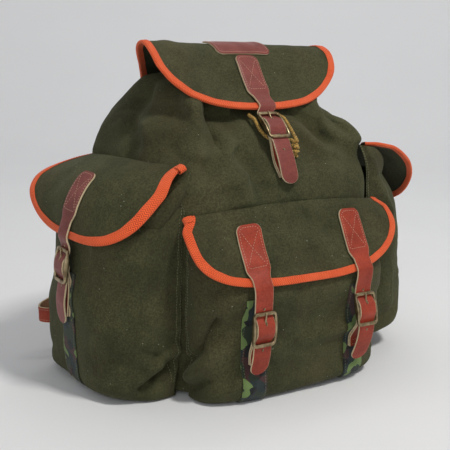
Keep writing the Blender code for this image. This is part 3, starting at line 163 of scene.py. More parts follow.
# Pocket rows from the lower back edge round the bottom to the top: height, bulge in the middle and
# at the two seams, how far the ends are tucked in, and growth in width
POCKET_ROWS = {
    "front": (
        # z bulge seam_bulge seam_tuck widen
        (0.0085, 0.005, 0.0000, 0.090, 0.000),
        (0.0055, 0.032, 0.0045, 0.045, 0.000),
        (0.0025, 0.056, 0.0090, 0.000, 0.014),
        (0.0125, 0.065, 0.0100, 0.000, 0.022),
        (0.0380, 0.063, 0.0050, 0.000, 0.028),
        (0.0920, 0.061, 0.0000, 0.000, 0.030),
        (0.1340, 0.066, 0.0000, 0.000, 0.030),
        (0.1600, 0.058, 0.0000, 0.000, 0.024),
        (0.1830, 0.045, 0.0000, 0.000, 0.016),
        (0.2060, 0.033, 0.0000, 0.000, 0.008),
    ),
    "left": (
        (0.0090, 0.005, 0.0000, 0.090, 0.000),
        (0.0065, 0.052, 0.0050, 0.045, 0.050),
        (0.0025, 0.081, 0.0100, 0.000, 0.130),
        (0.0125, 0.096, 0.0110, 0.000, 0.150),
        (0.0420, 0.100, 0.0055, 0.000, 0.140),
        (0.0900, 0.099, 0.0000, 0.000, 0.120),
        (0.1500, 0.093, 0.0000, 0.000, 0.100),
        (0.1950, 0.088, 0.0000, 0.000, 0.080),
        (0.2300, 0.078, 0.0000, 0.000, 0.050),
        (0.2560, 0.058, 0.0000, 0.000, 0.030),
    ),
    "right": (
        (0.0290, 0.006, 0.0000, 0.090, 0.000),
        (0.0260, 0.054, 0.0050, 0.045, 0.030),
        (0.0215, 0.088, 0.0100, 0.000, 0.090),
        (0.0310, 0.106, 0.0110, 0.000, 0.120),
        (0.0580, 0.112, 0.0055, 0.000, 0.120),
        (0.1000, 0.108, 0.0000, 0.000, 0.110),
        (0.1550, 0.095, 0.0000, 0.000, 0.100),
        (0.1950, 0.087, 0.0000, 0.000, 0.080),
        (0.2300, 0.075, 0.0000, 0.000, 0.050),
        (0.2560, 0.055, 0.0000, 0.000, 0.030),
    ),
}
POCKET_DROOP = {"left": 0.044}
DROOP_FROM = 0.170
POCKET_POWER = {"front": 3.2, "left": 2.9, "right": 2.9}

# Folds of the pockets: two ends as share of the width and height, half width and height
POCKET_FOLDS = {
    "front": (
        # across_0 z_0 across_1 z_1 half_width height
        (-0.92, 0.020, -0.55, 0.085, 0.011, -0.007),
        (-0.70, 0.018, -0.35, 0.030, 0.016, 0.006),
        (-0.10, 0.060, 0.45, 0.085, 0.014, 0.004),
        (0.60, 0.090, 0.90, 0.050, 0.014, 0.005),
    ),
    "left": (
        (0.98, 0.045, 0.55, 0.020, 0.014, 0.008),
        (0.90, 0.025, 0.60, 0.004, 0.012, -0.007),
        (0.10, 0.120, 0.70, 0.060, 0.022, 0.005),
    ),
    "right": (
        (0.95, 0.060, 0.55, 0.030, 0.014, 0.006),
        (0.45, 0.150, 0.60, 0.070, 0.018, -0.005),
    ),
}

# Flaps as three ribs each, from the seam to the free edge: how far out, and height. The flat
# pattern is cut straight at the seam and along its sides, and round at the free edge.
FLAPS = {
    "main": {
        "seam": "back", "centre": 0.001, "seam_lift": 0.0036,
        "half_width": 0.146, "back_half_width": 0.092, "widen_length": 0.135,
        "length": 0.262, "straight": 0.165, "power": 2.4, "drape": 2.2, "seam_fade": 0.06,
        "side_steps": (6, 2),
        "middle": ((0.1215, 0.345), (0.118, 0.375), (0.103, 0.403), (0.075, 0.420), (0.045, 0.425),
                   (0.018, 0.420), (-0.001, 0.403), (-0.016, 0.382), (-0.033, 0.3615), (-0.0520, 0.3455)),
        "low_side": ((0.102, 0.366), (0.076, 0.379), (0.054, 0.390), (0.043, 0.403), (0.032, 0.417),
                     (0.013, 0.4255), (-0.008, 0.417), (-0.027, 0.397), (-0.043, 0.375), (-0.058, 0.351)),
        "high_side": ((0.100, 0.360), (0.088, 0.376), (0.068, 0.398), (0.048, 0.417), (0.027, 0.425),
                      (0.006, 0.420), (-0.008, 0.404), (-0.017, 0.386), (-0.024, 0.367), (-0.034, 0.350)),
    },
    "front": {
        "seam": "front", "centre": 0.003, "seam_lift": 0.0022,
        "half_width": 0.158, "back_half_width": 0.147, "widen_length": 0.022,
        "length": 0.112, "straight": 0.022, "power": 2.8, "drape": 2.8, "seam_fade": 0.02,
        "side_steps": (1, 4),
        "middle": ((-0.1165, 0.236), (-0.126, 0.227), (-0.134, 0.209), (-0.144, 0.188),
                   (-0.156, 0.168), (-0.1675, 0.1470)),
        "low_side": ((-0.098, 0.222), (-0.112, 0.212), (-0.127, 0.193), (-0.140, 0.173),
                     (-0.151, 0.152), (-0.161, 0.130)),
        "high_side": ((-0.098, 0.224), (-0.112, 0.218), (-0.128, 0.205), (-0.141, 0.190),
                      (-0.152, 0.176), (-0.163, 0.162)),
    },
    "left": {
        "seam": "left", "centre": 0.016, "seam_lift": 0.0026,
        "half_width": 0.117, "back_half_width": 0.103, "widen_length": 0.050,
        "length": 0.152, "straight": 0.050, "power": 2.8, "drape": 2.4, "seam_fade": 0.05,
        "side_steps": (2, 3),
        "middle": ((-0.168, 0.284), (-0.192, 0.279), (-0.215, 0.268), (-0.232, 0.249),
                   (-0.243, 0.225), (-0.251, 0.193)),
        "low_side": ((-0.136, 0.283), (-0.163, 0.259), (-0.188, 0.233), (-0.208, 0.207),
                     (-0.225, 0.185), (-0.240, 0.166)),
        "high_side": ((-0.166, 0.270), (-0.192, 0.265), (-0.219, 0.257), (-0.241, 0.245),
                      (-0.256, 0.229), (-0.264, 0.209)),
    },
    "right": {
        "seam": "right", "centre": 0.014, "seam_lift": 0.0022,
        "half_width": 0.111, "back_half_width": 0.100, "widen_length": 0.045,
        "length": 0.158, "straight": 0.045, "power": 2.5, "drape": 2.2, "seam_fade": 0.05,
        "side_steps": (2, 3),
        "middle": ((0.168, 0.286), (0.192, 0.287), (0.217, 0.279), (0.239, 0.259),
                   (0.255, 0.235), (0.265, 0.202)),
        "low_side": ((0.134, 0.303), (0.160, 0.299), (0.188, 0.292), (0.214, 0.279),
                     (0.236, 0.262), (0.252, 0.240)),
        "high_side": ((0.166, 0.274), (0.192, 0.273), (0.219, 0.265), (0.243, 0.251),
                      (0.261, 0.236), (0.272, 0.214)),
    },
}

# Closing straps: the flap each one is sewn to, its place across that flap and where its head
# begins; the middle of the buckle as reach and height, its lean and sideways drift; the tail below the
# buckle; the heights where the billet's end is sewn down; and the spare holes from the centre bar
STRAPS = {
    "main": {
        "flap": "main", "across": 0.002, "head_at": 0.1750, "out": (0.0, -1.0),
        "buckle": (0.0752, 0.3262), "lean": 48.0, "drift": -0.005,
        "tail": ((0.1060, 0.2850), (0.1170, 0.2590)),
        "sewn_at": (0.284, 0.266), "holes": (0.016, 0.038),
    },
    "front_left": {
        "flap": "front", "across": -0.077, "head_at": 0.026, "out": (0.0, -1.0),
        "buckle": (0.1720, 0.0990), "lean": 0.0, "drift": 0.0,
        "tail": ((0.1690, 0.0620), (0.1625, 0.0400)),
        "sewn_at": (0.066, 0.053), "holes": (-0.026, 0.028),
    },
    "front_right": {
        "flap": "front", "across": 0.078, "head_at": 0.020, "out": (0.0, -1.0),
        "buckle": (0.1745, 0.1020), "lean": 14.0, "drift": 0.0,
        "tail": ((0.1750, 0.0590), (0.1640, 0.0330)),
        "sewn_at": (0.064, 0.050), "holes": (-0.026, 0.028),
    },
    "left": {
        "flap": "left", "across": 0.0, "head_at": 0.058, "out": (-1.0, 0.0),
        "buckle": (0.2555, 0.1585), "lean": 6.0, "drift": 0.0,
        "tail": ((0.2594, 0.1130), (0.2566, 0.0860)),
        "sewn_at": (0.112, 0.096), "holes": (-0.026, 0.028),
    },
    "right": {
        "flap": "right", "across": 0.0, "head_at": 0.058, "out": (1.0, 0.0),
        "buckle": (0.2665, 0.1600), "lean": 4.0, "drift": 0.0,
        "tail": ((0.2690, 0.1130), (0.2660, 0.0860)),
        "sewn_at": (0.112, 0.096), "holes": (-0.026, 0.028),
    },
}

# Drawcord: where it leaves the hem as place across and height, then its two hanging strands
CORD_EXITS = {"drawcord": (-0.0215, 0.338), "drawcord_end": (0.0230, 0.338)}
CORD_ROUTES = {
    "drawcord": ((-0.0212, -0.0600, 0.3330), (-0.0190, -0.0680, 0.3220), (-0.0145, -0.0745, 0.3140),
                 (-0.0070, -0.0785, 0.3095), (0.0040, -0.0780, 0.3082), (0.0158, -0.0788, 0.3078),
                 (0.0198, -0.0855, 0.3078), (0.0194, -0.0893, 0.3062)),
    "drawcord_end": ((0.0245, -0.0600, 0.3335), (0.0264, -0.0690, 0.3240), (0.0266, -0.0785, 0.3150),
                     (0.0253, -0.0868, 0.3088), (0.0249, -0.0892, 0.3062)),
}
CORD_KNOT = (0.0221, -0.0894, 0.2965)
KNOT_TURNS = 2.4
KNOT_COIL = 0.0034
KNOT_TOP = 0.0055
KNOT_FALL = 0.0092
KNOT_CORE = (0.0082, -0.0040)
FRAY_HAIRS = 16
FRAY_RADIUS = 0.00022
# Two short ends below the middle of the knot
KNOT_TAILS = (
    ((-0.0008, 0.0, -0.0030), (-0.0018, -0.0004, -0.0060), (-0.0030, 0.0, -0.0086)),
    ((0.0008, 0.0, -0.0030), (0.0016, 0.0004, -0.0062), (0.0024, 0.0, -0.0084)),
)


def unit(vectors):
    """Vectors scaled to length one."""
    vectors = np.asarray(vectors, float)
    return vectors / np.maximum(np.linalg.norm(vectors, axis=-1, keepdims=True), 1e-12)


def held(value):
    """Value held between 0 and 1."""
    return np.clip(value, 0.0, 1.0)


def ease(share):
    """Smooth step from 0 to 1."""
    return share * share * (3.0 - 2.0 * share)


def bell(away, width):
    """Smooth bump of height 1, at a distance from its middle."""
    return np.exp(-(away / width) ** 2)


def circle(count):
    """Even angles round a circle."""
    return TURN * np.arange(count) / count


def stacked(*values):
    """Values put side by side along a new last axis."""
    return np.stack(np.broadcast_arrays(*values), axis=-1)


def smooth_curve(points, per_span=12):
    """Points along a smooth curve through the given ones."""
    points = np.asarray(points, float)
    steps = np.linalg.norm(np.diff(points, axis=0), axis=1)
    at = np.concatenate([[0.0], np.cumsum(steps)])
    slopes = np.empty_like(points)
    slopes[1:-1] = (points[2:] - points[:-2]) / (at[2:] - at[:-2])[:, None]
    slopes[0] = (points[1] - points[0]) / steps[0]
    slopes[-1] = (points[-1] - points[-2]) / steps[-1]
    curve = []
    for index, step in enumerate(steps):
        t = np.arange(per_span)[:, None] / per_span
        curve.append((2 * t**3 - 3 * t**2 + 1) * points[index] + (3 * t**2 - 2 * t**3) * points[index + 1]
                     + (t**3 - 2 * t**2 + t) * step * slopes[index]
                     + (t**3 - t**2) * step * slopes[index + 1])
    return np.vstack(curve + [points[-1:]])


def lengths_along(curve):
    """Distance of each point of a curve from its start."""
    return np.concatenate([[0.0], np.cumsum(np.linalg.norm(np.diff(curve, axis=0), axis=1))])


def at_lengths(curve, wanted, along=None):
    """Rows of a curve at the wanted distances from its start."""
    along = lengths_along(curve) if along is None else along
    return np.stack([np.interp(wanted, along, curve[:, axis]) for axis in range(curve.shape[1])], axis=-1)


def even_points(curve, count):
    """Rows of a curve at even distances along it."""
    return at_lengths(curve, np.linspace(0.0, lengths_along(curve)[-1], count))


def outward(face):
    """Direction out of one of the bag's faces."""
    axis, sign, _ = FACES[face]
    return sign * np.eye(3)[1 - axis]


def ridge(across, up, fold):
    """Height at a place, given by one row of a fold table without its face."""
    across_0, up_0, across_1, up_1, half_width, height = fold
    run = np.array([across_1 - across_0, up_1 - up_0])
    share = held(((across - across_0) * run[0] + (up - up_0) * run[1]) / (run @ run))
    away = np.hypot(across - across_0 - share * run[0], up - up_0 - share * run[1])
    return height * bell(away, half_width)


def sack_section(row, inset=0.0, detail=1):
    """One ring round the sack, evenly spaced, starting in the middle of the front."""
    z_front, z_back, half_front, half_back, y_front, y_back, power = row
    middle = 0.5 * (y_front + y_back)
    reach = 0.5 * (y_back - y_front) - inset
    turn = np.linspace(0.0, TURN, 721)
    sideways, forward = np.sin(turn), -np.cos(turn)
    y = middle + reach * np.sign(forward) * np.abs(forward) ** (2.0 / power)
    share = (y - y_front) / (y_back - y_front)
    half = half_front + (half_back - half_front) * share - inset
    x = half * np.sign(sideways) * np.abs(sideways) ** (2.0 / power)
    dip = HEM_DIP * max(0.0, (z_front - HEM_DIP_FROM) / (SACK_SECTIONS[-1][0] - HEM_DIP_FROM)) ** 2
    dip = dip * (1.0 - share) ** 2 * held(1.0 - (x / half) ** 2)
    z = z_front + (z_back - z_front) * share - dip
    ring = np.stack([x, y, z], axis=1)
    arcs = []
    for octant in range(8):
        arc = ring[octant * 90:(octant + 1) * 90 + 1]
        steps = (WIDE_STEPS if octant in (0, 3, 4, 7) else DEEP_STEPS) * detail
        arcs.append(at_lengths(arc, np.arange(steps) / steps * lengths_along(arc)[-1]))
    return np.vstack(arcs)


def ring_normals(ring):
    """Level outward directions at the points of a ring that runs from the front to +X."""
    run = np.roll(ring, -1, axis=0) - np.roll(ring, 1, axis=0)
    return unit(np.stack([run[:, 1], -run[:, 0], np.zeros(len(ring))], axis=1))


def face_folds(points, normals, folds, wander=0.0):
    """How far a table of folds pushes points of the sack outward, each fold on its own face."""
    push = np.zeros(points.shape[:-1])
    for face, *fold in folds:
        axis, sign, _ = FACES[face]
        facing = held(sign * normals[..., 1 - axis]) ** 0.5
        push += facing * ridge(points[..., axis] + wander, points[..., 2], fold)
    return push


def sack_relief(ring, normals):
    """How far folds and gathers push each point of a ring outward."""
    z_front, z_back, _, _, y_front, y_back, _ = SACK_SECTIONS[-1]
    hem_height = np.interp(ring[:, 1], (y_front, y_back), (z_front, z_back))
    near_hem = held(1.0 - (hem_height - ring[:, 2]) / GATHER_FADE)
    turn = np.arange(len(ring)) / len(ring)
    pleats = np.cos(TURN * (GATHER_COUNT * turn + 0.35 * np.sin(4.0 * math.pi * turn)))
    return face_folds(ring, normals, SACK_FOLDS) + GATHER_DEPTH * near_hem**1.5 * pleats


def sack_rings(rows, detail=1, sunk=0.0):
    """Rings of the outer and the inner face of the sack through some sections, with their folds."""
    outer, inner = [], []
    for row in rows:
        ring = sack_section(row, 0.0, detail)
        normals = ring_normals(ring)
        push = normals * (sack_relief(ring, normals) - sunk)[:, None]
        outer.append(ring + push)
        inner.append(sack_section(row, CANVAS, detail) + push)
    return np.array(outer), np.array(inner)


@functools.lru_cache(maxsize=None)
def sack_surface():
    """Rings of the outer face of the sack as the CAD has it, from the base up."""
    return sack_rings(SACK_SECTIONS)[0]


def corner_at(height, side, end):
    """Seam point on a corner of the sack: side is -1 or 1 in X, end is "front" or "back"."""
    line = sack_surface()[:, SACK_CORNERS[side, end]]
    x, y = (np.interp(height, line[:, 2], line[:, axis]) for axis in (0, 1))
    return np.array([x, y, height])


def sack_at(face, across, height):
    """Reach of the sack's outer surface at places across and up one of its four sides."""
    across, height = np.broadcast_arrays(np.asarray(across, float), np.asarray(height, float))
    axis, _, corner = FACES[face]
    steps = 2 * (DEEP_STEPS if axis else WIDE_STEPS)
    columns = (SACK_CORNERS[corner] + np.arange(steps + 1)) % SACK_COLUMNS
    heights, reaches = [], []
    for ring in sack_surface():
        side = ring[columns]
        side = side[np.argsort(side[:, axis])]
        heights.append(np.interp(across, side[:, axis], side[:, 2]))
        reaches.append(np.interp(across, side[:, axis], side[:, 1 - axis]))
    heights, reaches = np.array(heights), np.array(reaches)
    above = np.clip((heights < height).sum(axis=0), 1, len(heights) - 1)[None]
    low, high, near, far = (np.take_along_axis(values, above + step, axis=0)[0]
                            for values in (heights, reaches) for step in (-1, 0))
    return near + (far - near) * held((height - low) / (high - low))


def pocket_profile(kind, across):
    """Place along a pocket's width and share of its bulge, at places between its seams."""
    turn = math.pi * (across + 1.0) / 2.0
    power = 2.0 / POCKET_POWER[kind]
    return -np.sign(np.cos(turn)) * np.abs(np.cos(turn)) ** power, np.abs(np.sin(turn)) ** power


def pocket_folds(folds, across, height, half):
    """How far a table of folds pushes a pocket's wall of the given half width."""
    return sum(ridge(across * half, height, (fold[0] * half, fold[1], fold[2] * half, *fold[3:]))
               for fold in folds)


def pocket_surface(kind, across, rows, inset=0.0):
    """Points of a pocket's wall, set in from its outer face: across runs from -1 to 1 between the seams."""
    axis, sign, _ = FACES[kind]
    out = outward(kind)
    along, bulge_share = pocket_profile(kind, across)
    droop = POCKET_DROOP.get(kind, 0.0)
    front_share = held((along - 0.15) / 0.7) ** 1.3 * held(0.2 + 1.5 * bulge_share)
    run = unit(np.gradient(np.array([(bulge, height) for height, bulge, *_ in rows]), axis=0))
    grid = []
    for (height, bulge, seam_bulge, tuck, widen), (sinking, facing) in zip(rows, run):
        bulge -= inset * facing
        foot = max(height, SEAM_FOOT)
        if kind == "front":
            start, end = corner_at(foot, -1, "front"), corner_at(foot, 1, "front")
            start += (SEAM_STEP, -SEAM_STEP, 0.0)
            end += (-SEAM_STEP, -SEAM_STEP, 0.0)
        else:
            start, end = corner_at(foot, sign, "back"), corner_at(foot, sign, "front")
            start += (sign * SEAM_STEP, -SEAM_STEP, 0.0)
            end += (sign * 2.0 * SEAM_STEP, SEAM_STEP, 0.0)
        centre, half = 0.5 * (start + end), 0.5 * (end - start)
        half *= 1.0 - inset * max(0.0, facing) / np.linalg.norm(half)
        relief = pocket_folds(POCKET_FOLDS[kind], across, height, np.linalg.norm(half)) * bulge_share
        place = centre + (along * (1.0 - tuck + widen * bulge_share))[:, None] * half
        place += (seam_bulge + (bulge - seam_bulge) * bulge_share + relief)[:, None] * out
        top_share = max(0.0, (height - DROOP_FROM) / (rows[-1][0] - DROOP_FROM))
        place[:, 2] = height + inset * sinking - droop * top_share * front_share
        wall = sack_at(kind, place[:, axis], place[:, 2]) * sign
        clear = CANVAS * max(0.0, facing) - inset * facing
        clear = wall + SEAM_CLEAR + clear * held(3.0 * bulge_share)
        place[:, 1 - axis] = np.maximum(place[:, 1 - axis] * sign, clear) * sign
        grid.append(place)
    return np.array(grid)


def grid_normals(grid, out):
    """Unit normals of a grid of points, turned towards a direction."""
    along = np.gradient(grid, axis=1)
    up = np.gradient(grid, axis=0)
    normals = unit(np.cross(along, up))
    if (normals.reshape(-1, 3) @ out).mean() < 0:
        normals = -normals
    return normals


def flap_half_width(flap, b):
    """Half width of the flat flap at a distance b from its seam, up to the round part."""
    share = min(b / flap["widen_length"], 1.0)
    return flap["back_half_width"] + (flap["half_width"] - flap["back_half_width"]) * ease(share)


def rib_at(rib, share):
    """Points at shares of a rib's length."""
    curve = smooth_curve(rib)
    return at_lengths(curve, share * lengths_along(curve)[-1])


def flap_points(flap, a, b):
    """Points of a flap's middle surface at the places a, b of its flat pattern."""
    a, b = np.broadcast_arrays(np.asarray(a, float), np.asarray(b, float))
    share = held(b / flap["length"])
    blend = (held(np.abs(a) / flap["half_width"]) ** flap["drape"])[..., None]
    side = np.where((a < 0)[..., None], rib_at(flap["low_side"], share), rib_at(flap["high_side"], share))
    place = (1.0 - blend) * rib_at(flap["middle"], share) + blend * side
    out, height, across = place[..., 0].copy(), place[..., 1], a + flap["centre"]
    fade = held(1.0 - b / flap["seam_fade"]) ** 2
    side_0 = np.where((a < 0)[..., None], np.array(flap["low_side"][0]), np.array(flap["high_side"][0]))
    at_seam = (1.0 - blend) * np.array(flap["middle"][0]) + blend * side_0
    lift = GAP + 0.5 * FLAP_CLOTH + flap["seam_lift"]
    axis, sign, _ = FACES[flap["seam"]]
    seat = sack_at(flap["seam"], across, at_seam[..., 1]) + sign * lift
    out += fade * (seat - at_seam[..., 0])
    return stacked(out, across, height) if axis else stacked(across, out, height)


def flap_frame(flap, a, b):
    """Points, unit normals and sideways directions of a flap at places of its flat pattern."""
    step = 0.0015
    a, b = np.broadcast_arrays(np.asarray(a, float), np.asarray(b, float))
    inside = np.clip(b, step, flap["length"] - step)
    across = unit(flap_points(flap, a + step, inside) - flap_points(flap, a - step, inside))
    down = flap_points(flap, a, inside + step) - flap_points(flap, a, inside - step)
    normal = unit(np.cross(across, down))
    return flap_points(flap, a, b), normal if flap["seam"] == "left" else -normal, across


def round_end(distance, half_width, radius):
    """Half width near a rounded end, at a distance from its tip."""
    if distance >= radius:
        return half_width
    return half_width - radius + math.sqrt(max(radius**2 - (radius - distance) ** 2, 0.0))


def strap_origin(strap):
    """Foot of a closing strap's upright plane, on the floor."""
    across = strap["across"] + strap["drift"]
    return np.array([0.0, across, 0.0]) if strap["out"][0] else np.array([across, 0.0, 0.0])


def buckle_frame(strap):
    """Origin and axes of a buckle: down along the strap, outward from the bag, and sideways."""
    out = np.array([*strap["out"], 0.0])
    up = np.array([0.0, 0.0, 1.0])
    lean = math.radians(strap["lean"])
    centre = strap_origin(strap) + out * strap["buckle"][0] + up * strap["buckle"][1]
    down = -up * math.cos(lean) + out * math.sin(lean)
    outward = out * math.cos(lean) + up * math.sin(lean)
    return centre, down, outward, np.cross(down, outward)


# Route of strap, billet and prong near the buckle: distance down from its centre bar, and outward
STRAP_IN_BUCKLE = ((-0.0235, -0.0011), (-0.0165, -0.0012), (-0.0110, 0.0022), (-0.0055, 0.0052),
                   (0.0, 0.0056), (0.0055, 0.0052), (0.0110, 0.0022), (0.0165, -0.0012), (0.0235, -0.0014))
BILLET_OUTER = ((0.0190, -0.0047), (0.0125, -0.0028), (0.0060, 0.0014))
BILLET_TURN = ((0.0, 0.0029), (-0.0027, 0.0011), (-0.0027, -0.0011), (0.0, -0.0029))
BILLET_INNER = ((0.0060, -0.0032), (0.0125, -0.0054), (0.0190, -0.0076))
PRONG_ROUTE = ((0.0012, -0.0024), (0.0027, -0.0002), (0.0014, 0.0023), (-0.0010, 0.0028),
               (-0.0120, 0.0035), (-0.0175, 0.0044), (-0.0210, 0.0046))


def in_plane(strap, pairs):
    """Points of a strap's plane given as reach and height."""
    out = np.array([*strap["out"], 0.0])
    return [strap_origin(strap) + out * reach + (0.0, 0.0, height) for reach, height in pairs]


def by_buckle(strap, pairs):
    """Points given by their place down and outward from the buckle's centre bar."""
    centre, down, outward, _ = buckle_frame(strap)
    return [centre + down * below + outward * raised for below, raised in pairs]


def strap_curve(strap):
    """Smooth middle line of a closing strap, and the length where it crosses the buckle's bar."""
    flap = FLAPS[strap["flap"]]
    lateral = buckle_frame(strap)[3]
    places = np.linspace(strap["head_at"], flap["length"] - 0.001, 8)
    seat, up, across = flap_cloth(strap["flap"], strap["across"] - flap["centre"], places)
    across = across * np.sign(across @ lateral)[:, None]
    on_cloth = 0.5 * FLAP_CLOTH + GAP + 0.5 * LEATHER + STRAP_LIFT
    step_up = held((places - flap["length"] + BINDING_DEPTH) / STRAP_STEP + 1.0)
    lift = on_cloth + (BINDING_CLOTH + STRAP_OVER_BINDING) * ease(step_up)
    above = np.hstack([seat + up * lift[:, None], across])
    below = by_buckle(strap, STRAP_IN_BUCKLE) + in_plane(strap, strap["tail"])
    below = np.hstack([np.array(below), np.tile(lateral, (len(below), 1))])
    curve = smooth_curve(np.vstack([above, below]))
    bar = by_buckle(strap, [STRAP_IN_BUCKLE[len(STRAP_IN_BUCKLE) // 2]])[0]
    nearest = int(np.argmin(np.linalg.norm(curve[:, :3] - bar, axis=1)))
    return curve, lengths_along(curve[:, :3])[nearest]


def at_places(curve, wanted):
    """Rows of a curve with extra columns at distances measured along its first three."""
    return at_lengths(curve, wanted, lengths_along(curve[:, :3]))


def strap_half_width(along, total):
    """Half width of a closing strap: sewn head, taper, and rounded tail."""
    head, narrow = 0.5 * HEAD_WIDTH, 0.5 * STRAP_WIDTH
    if along < HEAD_LENGTH:
        return round_end(along, head, HEAD_ROUND)
    if along < HEAD_LENGTH + HEAD_TAPER:
        return head + (narrow - head) * ease((along - HEAD_LENGTH) / HEAD_TAPER)
    return round_end(total - along, narrow, TAIL_ROUND)


def backing_reach(name, strap, height):
    """Reach of what a billet is sewn to: the webbing on a pocket, or the sack itself."""
    side = 0.5 * STRAP_WIDTH * np.array([-1.0, -0.5, 0.0, 0.5, 1.0])
    if name == "main":
        return -float(sack_at("front", side, height).min())
    kind = strap["flap"]
    axis = FACES[kind][0]
    heights, reaches = [], []
    for ring in pocket_surface(kind, np.linspace(-1.0, 1.0, 401), POCKET_ROWS[kind])[3:]:
        facing = ring[60:341][np.argsort(ring[60:341, axis])]
        heights.append(facing[140, 2])
        reaches.append(np.abs(np.interp(strap["across"] + side, facing[:, axis], facing[:, 1 - axis])).max())
    return float(np.interp(height, heights, reaches)) + WEBBING_STANDOFF + WEBBING


# Carrying straps behind the back panel: points of the route with the half width, and the turn of
# the width from sideways (0) to upright (90). A reach of 0 is laid on what is behind it.
SHOULDER_ROUTE = (
    # x y z half_width
    (0.0385, 0.0000, 0.338, 0.018),
    (0.0400, 0.0000, 0.318, 0.018),
    (0.0450, 0.1290, 0.295, 0.021),
    (0.0550, 0.1490, 0.262, 0.023),
    (0.0680, 0.1640, 0.225, 0.023),
    (0.0820, 0.1680, 0.185, 0.020),
    (0.0960, 0.1640, 0.150, 0.014),
    (0.1040, 0.1590, 0.125, 0.0125),
)
LOWER_ROUTE = (
    # x y z half_width turn
    (0.092, 0.0000, 0.052, 0.0105, 90.0),
    (0.108, 0.0000, 0.052, 0.0105, 90.0),
    (0.124, 0.0000, 0.052, 0.0105, 90.0),
    (0.152, 0.1190, 0.052, 0.0105, 90.0),
    (0.180, 0.1225, 0.052, 0.0105, 90.0),
    (0.207, 0.1280, 0.052, 0.0105, 90.0),
    (0.225, 0.1330, 0.053, 0.0105, 90.0),
    (0.233, 0.1420, 0.054, 0.0105, 88.0),
    (0.226, 0.1510, 0.057, 0.0105, 84.0),
    (0.203, 0.1560, 0.064, 0.0105, 74.0),
    (0.171, 0.1590, 0.077, 0.0105, 58.0),
    (0.143, 0.1600, 0.092, 0.0105, 38.0),
    (0.123, 0.1606, 0.106, 0.0105, 18.0),
    (0.112, 0.1614, 0.117, 0.0105, 8.0),
    (0.104, 0.1637, 0.130, 0.0105, 0.0),
    (0.099, 0.1664, 0.143, 0.0105, 0.0),
)
CARRY_LEATHER = 0.0032
CARRY_THREAD = 0.00042
LOWER_LEATHER = 0.0026
LOWER_LIFT = 0.0004
YOKE_LOW = 0.300
YOKE_HIGH = 0.344
YOKE_ROWS = (0.3032, 0.3408)
YOKE_HALF = 0.0575
YOKE_CORNER = 0.005
LOOP_HALF = 0.008
LOOP_TURN = (0.0, 1.0, -0.55)


def back_reach(x, z, wide, high):
    """Furthest reach of the sack's back under a piece of the given half width and half height."""
    across = x + wide * np.linspace(-1.0, 1.0, 5)[:, None]
    return float(sack_at("back", across, z + high * np.linspace(-1.0, 1.0, 5)).max())


# Rows of the sack's cloth that turn in under the main flap, only in the looks
SACK_NECK = (
    # z_front z_back half_front half_back y_front y_back power
    (0.3640, 0.3880, 0.113, 0.100, -0.0350, 0.093, 4.2),
    (0.3740, 0.3885, 0.098, 0.087, -0.0240, 0.082, 4.2),
)

# Deep folds where the drawcord gathers the sack, only in the looks
SACK_GATHERS = (
    # face across_0 z_0 across_1 z_1 half_width height
    ("front", -0.098, 0.360, -0.108, 0.296, 0.0095, 0.0150),
    ("front", -0.128, 0.345, -0.136, 0.292, 0.0090, -0.0070),
    ("front", -0.119, 0.292, -0.136, 0.262, 0.0130, 0.0060),
    ("left", -0.020, 0.360, -0.048, 0.300, 0.0140, -0.0040),
    ("left", 0.012, 0.356, -0.024, 0.312, 0.0120, 0.0030),
    ("left", 0.044, 0.364, 0.020, 0.318, 0.0090, -0.0050),
    ("left", -0.052, 0.300, -0.074, 0.262, 0.0140, -0.0030),
    ("front", -0.073, 0.356, -0.086, 0.308, 0.0090, -0.0180),
    ("front", -0.090, 0.302, -0.108, 0.272, 0.0100, -0.0070),
    ("front", -0.078, 0.300, -0.034, 0.318, 0.0105, 0.0095),
    ("front", -0.064, 0.334, -0.014, 0.344, 0.0110, -0.0180),
    ("front", -0.096, 0.262, -0.062, 0.272, 0.0090, 0.0060),
    ("front", -0.064, 0.290, -0.034, 0.254, 0.0120, -0.0065),
    ("front", 0.040, 0.346, 0.092, 0.308, 0.0095, -0.0150),
    ("front", 0.044, 0.318, 0.084, 0.290, 0.0110, 0.0090),
    ("front", 0.094, 0.336, 0.100, 0.312, 0.0085, 0.0075),
    ("front", 0.106, 0.352, 0.124, 0.312, 0.0070, -0.0100),
    ("front", 0.118, 0.310, 0.146, 0.306, 0.0120, 0.0080),
    ("front", 0.112, 0.286, 0.140, 0.262, 0.0120, -0.0040),
    ("right", -0.030, 0.345, -0.022, 0.306, 0.0100, -0.0060),
    ("right", 0.014, 0.350, 0.020, 0.306, 0.0100, 0.0055),
    ("right", 0.055, 0.362, 0.040, 0.310, 0.0110, -0.0055),
    ("back", -0.090, 0.372, -0.080, 0.322, 0.0100, -0.0050),
    ("back", -0.068, 0.372, -0.064, 0.330, 0.0100, 0.0045),
    ("back", 0.088, 0.372, 0.078, 0.322, 0.0100, -0.0050),
    ("back", 0.070, 0.370, 0.066, 0.330, 0.0100, 0.0045),
)
CREASE_WANDER = 0.0035
NOISE_WAVES = 26
SACK_SUNK = 0.0004
SACK_ROUND = 1.18
# Fill at the foot of the front left corner: how far out, where, and its size along each axis
FOOT_FILL = 0.028
FOOT_FILL_AT = (-0.118, -0.078, 0.0)
FOOT_FILL_SIZE = (0.034, 0.034, 0.020)
# Places where the sack lies flat under the yoke
UNDER_YOKE = [(0.0, 0.117, 0.322), (-0.04, 0.117, 0.32), (0.04, 0.117, 0.32)]

# Cloth of a side pocket that goes on up under its flap, only in the looks
FILL_ROWS = 14
FILL_TURN = 0.021
FILL_UNDER = 0.006
FILL_INSIDE = 0.012
FILL_BOW = 0.10
FILL_OUT = 0.009
FILL_NEAR = 0.163
FILL_NEAR_WIDTH = 0.022

